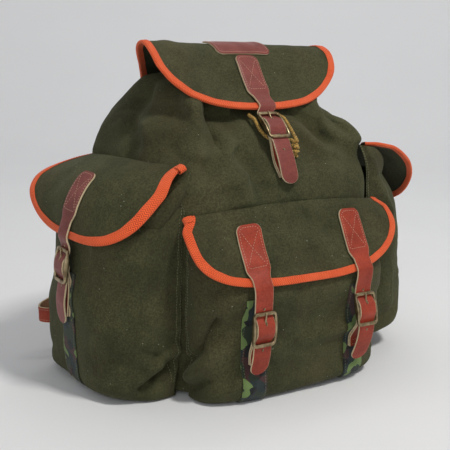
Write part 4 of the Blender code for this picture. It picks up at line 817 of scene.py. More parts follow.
# Folded ends of the edge tape at two flap corners: how far out past the edge, and height
TAPE_TABS = ("front", "left")
TAB_ROUTE = ((-0.0060, 0.0030), (-0.0010, 0.0036), (0.0028, 0.0030), (0.0050, 0.0004), (0.0042, -0.0028),
             (0.0008, -0.0044), (-0.0030, -0.0046))
# Distances from the seam: the tab's middle, and a place on each side of it
TAB_PLACES = (0.005, 0.008, 0.002)
TAB_HALF_WIDTH = 0.0044
TAB_THICKNESS = 0.0011

# Finer steps of this file
SACK_DETAIL = 4
SACK_ROWS = 112
# Half width and bulge of a pocket, for its flat map; half width for its fine folds; noise seed
POCKET_REACH = {"front": (0.160, 0.062), "left": (0.112, 0.095), "right": (0.112, 0.095)}
POCKET_HALF = {"front": 0.158, "left": 0.104, "right": 0.104}
POCKET_SEED = {"front": 31, "left": 47, "right": 59}
POCKET_ACROSS = 132
POCKET_DEEP = 104
FLAP_DETAIL = 9
FLAP_ACROSS = 8
BINDING_ALONG = 0.0021
BINDING_STITCH_INSET = 0.0016
STRAP_ALONG = 0.0016
STRAP_COLUMNS = 7
# Steps along a strap's rounded head, and back from the tip of its tail
HEAD_STEPS = (0.0, 0.0002, 0.0005, 0.001, 0.002, 0.0035, 0.005, 0.007)
TAIL_STEPS = (0.0115, 0.0095, 0.0075, 0.0057, 0.0042, 0.003, 0.002, 0.0012, 0.0006, 0.0002, 0.0)
HEAD_BORDER = 0.0032
HOLE_DEPTH = 0.010
CALM_REACH = 0.020
# Rows of stitches beside a pocket's seam: distance from it
SEAM_ROWS = (0.0030, 0.0082)
SEAM_ROWS_FROM = 0.30
HEM_ROW = 0.985
STITCH_PITCH = 0.0036
STITCH_LENGTH = 0.0026
THREAD = 0.00045
FINE_THREAD = 0.00036
THREAD_LIFT = 0.0001
STITCH_INSET = 0.0032
STITCH_FROM_END = 0.004
# Place along a stitch and share of its thickness
STITCH_PROFILE = ((-1.0, 0.0), (-0.82, 0.65), (0.0, 1.0), (0.82, 0.65), (1.0, 0.0))
LEATHER_STITCHES = {"pitch": 0.0034, "length": 0.0020, "radius": FINE_THREAD}

# More folds, only in the looks: narrower ones on the pockets, and those of the flaps' flat cloth
POCKET_FINE_FOLDS = {
    "front": (
        # across_0 z_0 across_1 z_1 half_width height
        (-0.62, 0.060, -0.36, 0.108, 0.0090, -0.0030),
        (0.05, 0.072, 0.34, 0.082, 0.0070, 0.0042),
        (0.00, 0.058, 0.30, 0.066, 0.0090, -0.0030),
        (0.70, 0.120, 0.96, 0.060, 0.0080, 0.0022),
    ),
    "left": (
        (0.30, 0.030, 0.62, 0.040, 0.0120, 0.0024),
        (-0.50, 0.110, -0.20, 0.050, 0.0140, 0.0025),
    ),
    "right": (
        (0.96, 0.048, 0.60, 0.060, 0.0070, -0.0030),
        (-0.60, 0.140, -0.30, 0.070, 0.0140, 0.0025),
    ),
}
# Creases between two points of a pocket's wall, with half width and height
CREASES = {
    "front": (
        ((-0.1376, -0.1015, 0.0487), (-0.1356, -0.1256, 0.0676), 0.0060, -0.0125),
        ((-0.1356, -0.1256, 0.0676), (-0.1232, -0.1423, 0.1052), 0.0060, -0.0135),
        ((-0.1400, -0.1080, 0.0300), (-0.1270, -0.1390, 0.0600), 0.0090, 0.0105),
        ((-0.1370, -0.1120, 0.0170), (-0.1290, -0.1330, 0.0300), 0.0055, -0.0090),
        ((-0.1180, -0.1450, 0.0340), (-0.0960, -0.1600, 0.0560), 0.0080, -0.0035),
    ),
    "left": (
        ((-0.1494, -0.0928, 0.0454), (-0.1723, -0.0946, 0.0299), 0.0065, -0.0130),
        ((-0.1723, -0.0946, 0.0299), (-0.1955, -0.0927, 0.0174), 0.0065, -0.0120),
        ((-0.1954, -0.0946, 0.0670), (-0.1759, -0.0958, 0.0576), 0.0045, -0.0040),
        ((-0.1759, -0.0958, 0.0576), (-0.1653, -0.0945, 0.0500), 0.0045, -0.0050),
        ((-0.1500, -0.0935, 0.0620), (-0.1850, -0.0955, 0.0430), 0.0085, 0.0085),
        ((-0.2300, -0.0800, 0.0560), (-0.1900, -0.0940, 0.0400), 0.0080, -0.0035),
    ),
    "right": (
        ((0.1660, -0.1000, 0.2500), (0.1900, -0.1000, 0.2050), 0.0090, 0.0060),
    ),
}
FLAP_FOLDS = {
    "main": (
        # a_0 b_0 a_1 b_1 half_width height
        (-0.060, 0.160, -0.040, 0.215, 0.016, -0.0018),
        (0.040, 0.165, 0.060, 0.210, 0.016, -0.0016),
        (-0.105, 0.120, -0.095, 0.180, 0.014, 0.0018),
        (-0.020, 0.100, -0.070, 0.070, 0.018, 0.0016),
    ),
    "front": (
        (-0.050, 0.026, 0.008, 0.020, 0.009, -0.0045),
        (0.008, 0.020, 0.040, 0.046, 0.010, -0.0042),
        (-0.020, 0.052, 0.020, 0.062, 0.016, 0.0020),
        (-0.125, 0.028, -0.100, 0.060, 0.010, 0.0018),
    ),
    "left": ((-0.050, 0.060, -0.030, 0.110, 0.016, 0.0018), (0.040, 0.050, 0.050, 0.100, 0.014, -0.0014)),
    "right": ((0.050, 0.060, 0.035, 0.110, 0.016, 0.0018), (-0.040, 0.050, -0.050, 0.100, 0.014, -0.0014)),
}


def soft_noise(points, seed, size):
    """Smooth random field of about -1 to 1, with swells of about the given size."""
    source = np.random.default_rng(seed)
    heading = unit(source.normal(size=(NOISE_WAVES, 3)))
    length = size * source.uniform(0.7, 1.7, NOISE_WAVES)
    phase = source.uniform(0.0, TURN, NOISE_WAVES)
    swells = np.sin(points @ (heading / length[:, None]).T * TURN + phase)
    return swells.sum(-1) * (0.9 / math.sqrt(NOISE_WAVES))


def wrinkles(points, seed, calm=()):
    """How far puckers and small creases move cloth, in metres, with none at the calm places."""
    patchy = held(0.45 + 0.6 * soft_noise(points, seed + 3, 0.12))
    line = np.exp(-(np.abs(soft_noise(points, seed + 2, 0.075)) / 0.13) ** 1.6)
    push = 0.0016 * soft_noise(points, seed, 0.095) + 0.0009 * soft_noise(points, seed + 1, 0.038)
    push += patchy * (0.0014 * line - 0.0003) + 0.00022 * soft_noise(points, seed + 4, 0.012)
    for place in calm:
        away = np.linalg.norm(points - np.asarray(place), axis=-1)
        push = push * (1.0 - bell(away, CALM_REACH))
    return push


def creases(kind, points):
    """How far the creases at a pocket's corners push its wall."""
    push = np.zeros(points.shape[:-1])
    for start, end, half_width, height in CREASES[kind]:
        start, run = np.array(start), np.array(end) - np.array(start)
        share = held((points - start) @ run / (run @ run))
        away = np.linalg.norm(points - start - share[..., None] * run, axis=-1)
        push += height * bell(away, half_width)
    return push


def settle(points):
    """Draw in and lift the cloth at the foot of the front right corner, as the photo shows it."""
    x, y, z = points[..., 0], points[..., 1], points[..., 2]
    low = held(1.0 - z / 0.075) ** 1.3
    corner = np.exp(-((x - 0.172) / 0.038) ** 2 - ((y + 0.105) / 0.06) ** 2) * low
    hang = held((x + 0.02) / 0.14) * held((-0.10 - y) / 0.03) * low
    side = held((x - 0.185) / 0.03) * low
    waist = np.exp(-((x - 0.165) / 0.035) ** 2 - ((y + 0.10) / 0.06) ** 2 - ((z - 0.245) / 0.05) ** 2)
    rise = 0.010 * corner + 0.0055 * hang + 0.0080 * side
    return points + np.stack([-0.017 * corner - 0.011 * waist, 0.006 * corner, rise], axis=-1)


def flap_fill(kind, face):
    """Shifts that carry the top edge of a side pocket's front wall up under its flap."""
    flap, side = FLAPS[kind], FACES[kind][1]
    edge = np.array(flap["low_side"]) * (side, 1.0)
    top = face[-1]
    reach = side * top[:, 0]
    near = bell(reach - FILL_NEAR, FILL_NEAR_WIDTH)
    goal = reach - FILL_TURN * near
    front = held((-top[:, 1] - 0.060) / 0.030) ** 0.7
    rise = np.maximum(np.interp(goal, edge[:, 0], edge[:, 1]) - FILL_UNDER - top[:, 2], 0.001)
    inward = flap["centre"] - flap["half_width"] + FILL_INSIDE - FILL_OUT * near - top[:, 1]
    return np.stack([side * (goal - reach), inward, rise], axis=1) * front[:, None] + (0.0, 0.0, 0.0006)


def smooth_table(table, scale, count):
    """Rows of a table at even steps along a smooth curve through it."""
    curve = smooth_curve(np.array(table) * scale, 24)
    return even_points(curve, count) / scale


def sewn_places(names):
    """Where the billets of some straps are sewn down."""
    places = []
    for name in names:
        strap = STRAPS[name]
        reach = backing_reach(name, strap, strap["sewn_at"][0])
        places += in_plane(strap, [(reach, height) for height in strap["sewn_at"]])
    return places


def finish_piece(piece, body="root", nodes=()):
    """Tie a piece to its body and to the nodes that it stands for."""
    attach(piece, body)
    if nodes:
        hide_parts(*nodes)
    return piece


def add_object(name, data):
    """New object in the scene."""
    made = bpy.data.objects.new(name, data)
    bpy.context.scene.collection.objects.link(made)
    return made


def matrix_of(axes, place):
    """Matrix with the given axes and place."""
    matrix = Matrix(np.stack(axes, axis=1).tolist()).to_4x4()
    matrix.translation = place
    return matrix


def add_mesh(name, points, faces, materials, uv=None, face_materials=None, smooth_angle=50.0, weld=0.0,
             turn_out=True):
    """Piece made of points and faces, with its map in metres, one value pair for each point."""
    mesh = bpy.data.meshes.new(name)
    mesh.from_pydata(np.asarray(points, float).tolist(), [], [list(face) for face in faces])
    for material in materials:
        mesh.materials.append(material)
    if face_materials is not None:
        mesh.polygons.foreach_set("material_index", np.asarray(face_materials, np.int32))
    if uv is not None:
        layer = mesh.uv_layers.new(name="flat")
        corners = np.empty(len(mesh.loops), np.int32)
        mesh.loops.foreach_get("vertex_index", corners)
        layer.data.foreach_set("uv", np.asarray(uv, np.float32)[corners].ravel())
    shape = bmesh.new()
    shape.from_mesh(mesh)
    if weld:
        bmesh.ops.remove_doubles(shape, verts=shape.verts, dist=weld)
        bmesh.ops.dissolve_degenerate(shape, edges=shape.edges, dist=weld)
    if turn_out:
        bmesh.ops.recalc_face_normals(shape, faces=shape.faces)
    shape.to_mesh(mesh)
    shape.free()
    mesh.shade_smooth()
    mesh.set_sharp_from_angle(angle=math.radians(smooth_angle))
    return add_object(name, mesh)


def grid_faces(rows, columns):
    """Quads of a grid of points, as an array."""
    here = (np.arange(rows - 1)[:, None] * columns + np.arange(columns - 1)).ravel()
    return np.stack([here, here + 1, here + columns + 1, here + columns], axis=1)


def tube_faces(rings, sides, closed=False):
    """Quads between rings of points, as an array; a closed tube runs back into its first ring."""
    ring, side = np.arange(rings if closed else rings - 1)[:, None] * sides, np.arange(sides)
    after, following = (ring + sides) % (rings * sides), (side + 1) % sides
    return np.stack([ring + side, ring + following, after + following, after + side], axis=-1).reshape(-1, 4)


def add_cloth(name, face, back, uv, materials, weld=0.0, extra=(), smooth_angle=50.0):
    """Closed cloth between two grids: its face and back, and the cut edges all round."""
    rows, columns = face.shape[:2]
    behind = rows * columns
    front = grid_faces(rows, columns)
    low, high = np.arange(columns - 1), (rows - 1) * columns + np.arange(columns - 1)
    start, end = np.arange(rows - 1) * columns, np.arange(rows - 1) * columns + columns - 1
    edges = [np.stack([low, low + behind, low + behind + 1, low + 1], axis=1),
             np.stack([high, high + 1, high + behind + 1, high + behind], axis=1)]
    if not weld:
        edges += [np.stack([start, start + columns, start + columns + behind, start + behind], axis=1),
                  np.stack([end, end + behind, end + columns + behind, end + columns], axis=1)]
    faces = np.vstack([front, front[:, ::-1] + behind, *edges]).tolist()
    kinds = np.repeat([0, 1, 2], [len(front), len(front), len(faces) - 2 * len(front)])
    faces += [list(ring) for ring in extra]
    kinds = np.minimum(np.append(kinds, [1] * len(extra)), len(materials) - 1)
    points = np.vstack([face.reshape(-1, 3), back.reshape(-1, 3)])
    flat = np.vstack([uv.reshape(-1, 2)] * 2)
    return add_mesh(name, points, faces, materials, flat, kinds, smooth_angle, weld)


def build_sack(cloth):
    """Main bag: the drawn-in canvas body with its puckers and gathered hem."""
    rows = smooth_table(SACK_SECTIONS + SACK_NECK, np.array([1.0] * 6 + [0.01]), SACK_ROWS)
    outer, inner = sack_rings(rows, SACK_DETAIL, SACK_SUNK)
    normals = np.array([ring_normals(ring) for ring in outer])
    fade = held(outer[..., 2] / 0.03)
    wander = CREASE_WANDER * soft_noise(outer, 19, 0.05)
    calm = sewn_places(["main"]) + UNDER_YOKE
    push = wrinkles(outer, 11, calm) * fade + face_folds(outer, normals, SACK_GATHERS, wander)
    from_foot = (outer - FOOT_FILL_AT) / FOOT_FILL_SIZE
    push += FOOT_FILL * np.exp(-(from_foot ** 2).sum(-1))
    outer, inner = outer + normals * push[..., None], inner + normals * push[..., None]
    inner[..., 2] = np.maximum(inner[..., 2], CANVAS)
    outer, inner = settle(outer), settle(inner)
    around = np.linspace(0.0, SACK_ROUND, outer.shape[1] + 1)
    uv = stacked(around[None, :], lengths_along(outer[:, 0])[:, None])
    outer, inner = (np.concatenate([grid, grid[:, :1]], axis=1) for grid in (outer, inner))
    columns, behind = outer.shape[1], outer.shape[0] * outer.shape[1]
    floors = (range(columns - 2, -1, -1), range(behind, behind + columns - 1))
    piece = add_cloth("sack_canvas", outer, inner, uv, cloth, weld=1e-6, extra=floors)
    finish_piece(piece, nodes=["sack"])
    return outer


def even_across(kind, count):
    """Places across a pocket that lie evenly along its wall, and their distance along it."""
    across = np.linspace(-1.0, 1.0, 6001)
    wall = np.stack(pocket_profile(kind, across), axis=1) * POCKET_REACH[kind]
    along = lengths_along(wall)
    wanted = np.linspace(0.0, along[-1], count)
    return np.interp(wanted, along, across), wanted


@functools.lru_cache(maxsize=None)
def pocket_cloth(kind):
    """Outer and inner grid of a pocket with all its folds, and its map in metres."""
    scale = np.array([1.0, 1.0, 1.0, 0.1, 0.1])
    rows = smooth_table(POCKET_ROWS[kind], scale, POCKET_DEEP)
    across, along = even_across(kind, POCKET_ACROSS)
    face = pocket_surface(kind, across, rows)
    back = pocket_surface(kind, across, rows, CANVAS)
    normals = grid_normals(face, outward(kind))
    straps = [name for name, strap in STRAPS.items() if strap["flap"] == kind]
    push = wrinkles(face, POCKET_SEED[kind], sewn_places(straps))
    push = push + pocket_folds(POCKET_FINE_FOLDS[kind], across[None, :], rows[:, :1], POCKET_HALF[kind])
    edge = np.minimum(along, along[-1] - along)
    seam = held(edge / 0.016)
    top = held((rows[-1, 0] - rows[:, 0]) / 0.02)
    low = held((face[..., 2] - 0.001) / 0.012)
    pucker = 0.0010 * bell(edge - 0.006, 0.006) * soft_noise(face * (1, 1, 2.2), 77, 0.028)
    push = push * seam[None, :] * (0.4 + 0.6 * top[:, None]) * low + pucker * low
    crown = 0.0013 * bell(edge - 0.0055, 0.0036) * low
    groove = 0.0008 * sum(bell(edge - distance, 0.0009) for distance in SEAM_ROWS) * low
    push = push + crown - groove + creases(kind, face) * np.clip(edge / 0.006, 0.15, 1.0)[None, :]
    face, back = settle(face + normals * push[..., None]), settle(back + normals * push[..., None])
    uv = stacked(along[None, :], lengths_along(face[:, POCKET_ACROSS // 2])[:, None])
    if kind != "front":
        shift = flap_fill(kind, face)
        share = np.linspace(0.0, 1.0, FILL_ROWS + 1)[1:, None]
        bow = -FILL_BOW * np.sin(math.pi * share) * np.linalg.norm(shift, axis=1)
        move = share[..., None] * shift + bow[..., None] * (0.0, 1.0, 0.0)
        face, back = np.concatenate([face, face[-1] + move]), np.concatenate([back, back[-1] + move])
        rise = uv[-1] + share[..., None] * np.linalg.norm(shift, axis=1)[:, None] * (0.0, 1.0)
        uv = np.concatenate([uv, rise])
        normals = np.concatenate([normals, np.repeat(normals[-1:], FILL_ROWS, axis=0)])
    return face, back, uv, normals


def build_pocket(kind, cloth):
    """Pocket: a bulged canvas shell with folded and stitched seams."""
    face, back, uv, _ = pocket_cloth(kind)
    piece = add_cloth(kind + "_pocket_canvas", face, back, uv, cloth)
    finish_piece(piece, nodes=[kind + "_pocket"])


def flap_relief(kind, a, b):
    """Soft folds of a flap's cloth at places of its flat pattern."""
    flap = FLAPS[kind]
    push = sum(ridge(a, b, fold) for fold in FLAP_FOLDS[kind])
    flat = stacked(a, b, 0.0 * a)
    seed = {"main": 3, "front": 5, "left": 7, "right": 9}[kind]
    push = push + 0.0010 * soft_noise(flat, seed, 0.10) + 0.0004 * soft_noise(flat, seed + 20, 0.035)
    push = push * held(b / 0.05) ** 1.5 * held((flap["length"] - b) / 0.03 + 0.25)
    sides = np.array([strap["across"] - flap["centre"] for strap in STRAPS.values() if strap["flap"] == kind])
    near = np.exp(-(np.abs(np.asarray(a)[..., None] - sides).min(-1) / 0.020) ** 4)
    return push * (1.0 - 0.85 * near * held((b - 0.4 * flap["length"]) / 0.03))


def flap_cloth(kind, a, b):
    """Points, normals and sideways directions of a flap with its folds."""
    flap = FLAPS[kind]
    place, normal, across = flap_frame(flap, a, b)
    a, b = np.broadcast_arrays(np.asarray(a, float), np.asarray(b, float))
    return place + normal * flap_relief(kind, a, b)[..., None], normal, across


def flap_outline(flap):
    """Flat outline from one end of the seam round to the other, and its inward directions."""
    straight, length, power = flap["straight"], flap["length"], flap["power"]
    straight_steps, arc_steps = (steps * FLAP_DETAIL for steps in flap["side_steps"])
    half_across = FLAP_ACROSS * FLAP_DETAIL // 2
    half = [(flap_half_width(flap, straight * step / straight_steps), straight * step / straight_steps)
            for step in range(straight_steps)]
    for turns in (np.linspace(0.0, 45.0, arc_steps + 1)[:-1], np.linspace(45.0, 90.0, half_across + 1)):
        for turn in np.radians(turns):
            half.append((flap["half_width"] * max(math.cos(turn), 0.0) ** (2.0 / power),
                         straight + (length - straight) * math.sin(turn) ** (2.0 / power)))
    half = np.array(half)
    outline = np.vstack([half * (-1.0, 1.0), half[-2::-1]])
    run = unit(np.gradient(outline, axis=0))
    inward = np.stack([run[:, 1], -run[:, 0]], axis=1)
    inward[[0, -1]] = ((1.0, 0.0), (-1.0, 0.0))
    return outline, inward


def flap_grid(flap):
    """Flat places that fill a flap's outline, row by row from the seam."""
    outline, inward = flap_outline(flap)
    outline = outline + 0.0003 * inward
    down, across = sum(flap["side_steps"]) * FLAP_DETAIL, FLAP_ACROSS * FLAP_DETAIL
    left, right = outline[:down + 1], outline[::-1][:down + 1]
    bottom = outline[down:down + across + 1]
    t, s = np.arange(down + 1)[:, None, None] / down, np.arange(across + 1)[None, :, None] / across
    top = (1.0 - s) * left[0] + s * right[0]
    return ((1.0 - t) * top + t * bottom[None] + (1.0 - s) * left[:, None] + s * right[:, None]
            - (1.0 - t) * top - t * ((1.0 - s) * bottom[0] + s * bottom[-1]))


def flat_area(flap):
    """Area of a flap's flat pattern."""
    x, y = flap_outline(flap)[0].T
    return 0.5 * abs(float(np.sum(x * np.roll(y, -1) - y * np.roll(x, -1))))


def build_flap(kind, cloth, tape, thread):
    """Flap: one layer of canvas, the folded ribbed tape round its free edge, and the tape's stitches."""
    flap = FLAPS[kind]
    places = flap_grid(flap)
    middle, normal, _ = flap_cloth(kind, places[..., 0], places[..., 1])
    half = 0.5 * FLAP_CLOTH
    piece = add_cloth(kind + "_flap_canvas", middle + half * normal, middle - half * normal, places, cloth)
    finish_piece(piece, nodes=[kind + "_flap"])
    outline, inward = flap_outline(flap)
    along = lengths_along(outline)
    stations = np.linspace(0.0, along[-1], int(along[-1] / BINDING_ALONG))
    edge = at_lengths(outline, stations)
    turn = unit(at_lengths(inward, stations, along))
    wave = 0.00025 * soft_noise(stacked(stations, 0.0, 0.0), 91, 0.018)
    slot, skin = half + GAP, half + GAP + BINDING_CLOTH
    section = [(BINDING_DEPTH, slot), (BINDING_DEPTH + 0.0001, skin - 0.0002), (BINDING_DEPTH - 0.0004, skin)]
    section += [(BINDING_DEPTH * share, skin + 0.00025 * math.sin(math.pi * share))
                for share in (0.8, 0.6, 0.4, 0.2)]
    section += [(-0.0012 * math.cos(math.radians(turned)) + 0.0006, skin * math.sin(math.radians(turned)))
                for turned in range(80, -81, -20)]
    section += [(depth, -height) for depth, height in section[6:0:-1]] + [(BINDING_DEPTH, -slot)]
    rings = []
    for depth, height in section:
        flat = edge + turn * (depth + (wave if depth > 0.004 else 0.0 * wave))[:, None]
        place, up, _ = flap_cloth(kind, flat[:, 0], np.maximum(flat[:, 1], 0.0))
        rings.append(place + up * height)
    rings = np.array(rings).transpose(1, 0, 2)
    back = rings.copy()
    middle_line = 0.5 * (rings[:, :1] + rings[:, -1:])
    back[:, 1:-1] = rings[:, 1:-1] + 0.45 * BINDING_CLOTH * unit(middle_line - rings[:, 1:-1])
    uv = stacked(stations[:, None], lengths_along(np.array(section))[None, :])
    binding = add_cloth(kind + "_binding_tape", rings, back, uv, tape, smooth_angle=70.0)
    finish_piece(binding, nodes=[kind + "_binding"])
    flat = edge + turn * (BINDING_DEPTH - BINDING_STITCH_INSET)
    place, up, _ = flap_cloth(kind, flat[:, 0], np.maximum(flat[:, 1], 0.0))
    stitches = [(place + up * side * (skin + THREAD_LIFT), up * side) for side in (1.0, -1.0)]
    thread_piece = add_stitches(kind + "_binding_stitches", stitches, thread)
    flat_area(flap)


def build_tape_tab(kind, tape):
    """Folded end of the tape at a flap's low corner."""
    half = FLAPS[kind]["back_half_width"]
    (place, up, across), ahead, above = (flap_cloth(kind, -half, np.array(b)) for b in TAB_PLACES)
    route = [place - out * across + height * up for out, height in TAB_ROUTE]
    route = smooth_curve(np.array(route).reshape(-1, 3), 5)
    lateral = unit(ahead[0] - above[0]).reshape(3)
    half = [TAB_HALF_WIDTH] * len(route)
    finish_piece(add_strap(kind + "_tape_tab", route, lateral, half, TAB_THICKNESS, tape))


def add_stitches(name, lines, material, pitch=STITCH_PITCH, length=STITCH_LENGTH, radius=THREAD, sides=6):
    """Rows of stitches: each one a short round thread that dips into the surface at its ends."""
    centres, runs, ups = [], [], []
    for line, normal in lines:
        line, normal = np.asarray(line, float), np.broadcast_to(normal, np.shape(line))
        along = lengths_along(line)
        count = max(int(along[-1] / pitch), 1)
        wanted = (np.arange(count) + 0.5) * along[-1] / count
        centres.append(at_lengths(line, wanted))
        runs.append(unit(at_lengths(line, wanted + 0.3 * length) - at_lengths(line, wanted - 0.3 * length)))
        ups.append(unit(at_lengths(normal, wanted, along)))
    centre, run, up = np.vstack(centres), np.vstack(runs), np.vstack(ups)
    side = unit(np.cross(run, up))
    up = np.cross(side, run)
    rings = []
    for step, swell in STITCH_PROFILE:
        middle = centre + run * (0.5 * length * step) + up * (0.45 * radius * (swell - 0.6))
        for angle in circle(sides):
            rings.append(middle + radius * max(swell, 0.05) * (side * math.cos(angle) + up * math.sin(angle)))
    points = np.stack(rings, axis=1)
    count, each = points.shape[:2]
    faces = (np.arange(count)[:, None, None] * each + tube_faces(len(STITCH_PROFILE), sides)).reshape(-1, 4)
    return finish_piece(add_mesh(name, points.reshape(-1, 3), faces.tolist(), [material], smooth_angle=180.0))


def rounded_box(centre, half_wide, half_long, corners, steps, first=0):
    """Outline of a box with round corners, anticlockwise from one of them."""
    outline = []
    for index in range(first, first + 4):
        wide, long = ((1, -1), (1, 1), (-1, 1), (-1, -1))[index % 4]
        radius = corners[index % 4]
        for turned in np.radians(90.0 * (index - 1) + np.linspace(0.0, 90.0, steps)):
            outline.append((centre[0] + wide * (half_wide - radius) + radius * math.cos(turned),
                            centre[1] + long * (half_long - radius) + radius * math.sin(turned)))
    return np.array(outline)


def even_ring(outline, count):
    """Even points all round a closed outline."""
    return even_points(np.vstack([outline, outline[:1]]), count)


def rounded_section(half, thickness):
    """Cross-section of a cut leather strap: sideways place, height, and 0 face, 1 back, 2 cut edge."""
    bevel = min(BEVEL, 0.3 * thickness)
    flat = np.linspace(-1.0, 1.0, STRAP_COLUMNS) * (half - bevel)
    top, low = 0.5 * thickness, -0.5 * thickness
    section = [(place, top, 0) for place in flat]
    section += [(half - 0.3 * bevel, top - 0.3 * bevel, 2), (half, top - bevel, 2), (half, low + bevel, 2)]
    section += [(place, low, 1) for place in flat[::-1]]
    section += [(-half, low + bevel, 2), (-half, top - bevel, 2), (-half + 0.3 * bevel, top - 0.3 * bevel, 2)]
    return section


def add_strap(name, route, lateral, half, thickness, materials):
    """Flat strap along a route, with cut edges; the half width is given at each point."""
    route, lateral = np.asarray(route, float), unit(np.broadcast_to(lateral, np.shape(route)))
    run = unit(np.gradient(route, axis=0))
    normal = unit(np.cross(lateral, run))
    along = lengths_along(route)
    points, uv = [], []
    for place, side, up, width, distance in zip(route, lateral, normal, half, along):
        section = rounded_section(max(float(width), 0.0008), thickness)
        points.extend(place + side * across + up * height for across, height, _ in section)
        uv.extend((across, distance) for across, _, _ in section)
    kinds = np.array([kind for _, _, kind in rounded_section(0.01, thickness)])
    sides, rows = len(kinds), len(route)
    faces = tube_faces(rows, sides).tolist()
    faces += [list(range(base, base + sides)) for base in (0, (rows - 1) * sides)]
    which = np.append(np.tile(np.where(kinds == np.roll(kinds, -1), kinds, 2), rows - 1), [2, 2])
    return add_mesh(name, points, faces, materials, uv, which, smooth_angle=38.0)


def cut(piece, shape):
    """Take closed shapes out of a leather piece, with its cut edge where they went, and keep the result."""
    for face in shape.faces:
        face.material_index = 2
    mesh = bpy.data.meshes.new("cutter")
    shape.to_mesh(mesh)
    shape.free()
    cutter = add_object("cutter", mesh)
    modifier = piece.modifiers.new("cut", "BOOLEAN")
    modifier.operation = "DIFFERENCE"
    modifier.object = cutter
    result = bpy.data.meshes.new_from_object(piece.evaluated_get(bpy.context.evaluated_depsgraph_get()))
    piece.modifiers.clear()
    piece.data = result
    bpy.data.objects.remove(cutter, do_unlink=True)


def strap_frame(curve, along):
    """Places on a closing strap at distances along it, its run and its sideways direction there."""
    place = at_places(curve, along)
    ahead, behind = (at_places(curve, along + step) for step in (0.001, -0.001))
    return place[:, :3], unit(ahead[:, :3] - behind[:, :3]), unit(place[:, 3:])


def strap_row(curve, along, lateral_at, lift):
    """Points and upward directions on a strap's face at distances along it and places across it."""
    place, run, lateral = strap_frame(curve, along)
    normal = unit(np.cross(lateral, run))
    return place + lateral * lateral_at[:, None] + normal * lift, normal


def build_strap(name, leather, thread):
    """Closing strap: sewn head with its border and crossed stitches, punched holes, and free tail."""
    strap = STRAPS[name]
    curve, bar = strap_curve(strap)
    total = lengths_along(curve[:, :3])[-1]
    stations = np.concatenate([HEAD_STEPS, np.arange(0.009, total - 0.012, STRAP_ALONG),
                               total - np.array(TAIL_STEPS)])
    route = at_places(curve, stations)
    half = [strap_half_width(along, total) for along in stations]
    piece = add_strap(name + "_strap_leather", route[:, :3], route[:, 3:], half, LEATHER, leather)
    shape = bmesh.new()
    holes = np.array([bar - PRONG_HOLE_UP, *(bar + step for step in strap["holes"])])
    for stretch, place, run, lateral in zip((PRONG_HOLE_STRETCH, 1.0, 1.0), *strap_frame(curve, holes)):
        hole = bmesh.ops.create_cone(shape, cap_ends=True, segments=20, radius1=HOLE_RADIUS,
                                     radius2=HOLE_RADIUS, depth=HOLE_DEPTH)["verts"]
        bmesh.ops.scale(shape, vec=(stretch, 1.0, 1.0), verts=hole)
        turn = matrix_of((run, lateral, np.cross(run, lateral)), place)
        bmesh.ops.transform(shape, matrix=turn, verts=hole)
    cut(piece, shape)
    finish_piece(piece, nodes=[name + "_strap"])
    side, first, last = 0.5 * HEAD_WIDTH - HEAD_BORDER, HEAD_BORDER, HEAD_LENGTH - 0.001
    middle, half_long = 0.5 * (first + last), 0.5 * (last - first)
    border = rounded_box((0.0, middle), side, half_long, (0.008, 0.004, 0.004, 0.008), 7)
    cross = [np.linspace((-tilt * side * 0.82, first + 0.006), (tilt * side * 0.82, last - 0.004), 40)
             for tilt in (1.0, -1.0)]
    lines = [strap_row(curve, line[:, 1], line[:, 0], 0.5 * LEATHER + 0.00015)
             for line in [even_ring(border, 160), *cross]]
    add_stitches(name + "_strap_stitches", lines, thread, **LEATHER_STITCHES)


def build_billet(name, leather, thread):
    """Doubled leather tab that carries the buckle, slotted for the prong at its fold."""
    strap = STRAPS[name]
    centre, down, outward, lateral = buckle_frame(strap)
    lift = GAP + 0.5 * BILLET_LEATHER + BILLET_LIFT
    end = [(backing_reach(name, strap, height) + lift, height) for height in strap["sewn_at"]]
    inner_end = in_plane(strap, end)
    buckle_end = by_buckle(strap, BILLET_INNER[-1:])[0] - strap_origin(strap)
    inner_line = np.array([(np.hypot(*buckle_end[:2]), buckle_end[2]), *end])
    fall = unit(np.gradient(inner_line, axis=0))[1:]
    outer_end = in_plane(strap, [(reach - BILLET_SPREAD * sinking, height + BILLET_SPREAD * inward)
                                 for (reach, height), (inward, sinking) in zip(end, fall)])
    round_bar = by_buckle(strap, BILLET_OUTER + BILLET_TURN + BILLET_INNER)
    curve = smooth_curve(np.array(outer_end[::-1] + round_bar + inner_end), 8)
    half = np.full(len(curve), 0.5 * STRAP_WIDTH - 0.001)
    piece = add_strap(name + "_billet_leather", curve[::-1], lateral, half, BILLET_LEATHER, leather)
    shape = bmesh.new()
    corners = [shape.verts.new(centre + down * low + outward * out + lateral * side)
               for low in SLOT_DOWN for out in SLOT_OUT for side in (-SLOT_HALF, SLOT_HALF)]
    for face in ((0, 1, 3, 2), (4, 6, 7, 5), (0, 4, 5, 1), (2, 3, 7, 6), (0, 2, 6, 4), (1, 5, 7, 3)):
        shape.faces.new([corners[corner] for corner in face])
    bmesh.ops.recalc_face_normals(shape, faces=shape.faces)
    cut(piece, shape)
    finish_piece(piece, nodes=[name + "_billet"])
    out = np.array([*strap["out"], 0.0])
    low, high = np.array(outer_end[1]), np.array(outer_end[0])
    up = unit(low - high)
    face_up = unit(np.cross(lateral, up))
    face_up = face_up * np.sign(face_up @ out)
    width = 0.5 * STRAP_WIDTH - BILLET_INSET
    rows = [low - up * above + np.linspace(-width, width, 20)[:, None] * lateral for above in BILLET_ROWS]
    lines = [(row + face_up * (0.5 * BILLET_LEATHER + THREAD_LIFT), face_up) for row in rows]
    add_stitches(name + "_billet_stitches", lines, thread, **LEATHER_STITCHES)


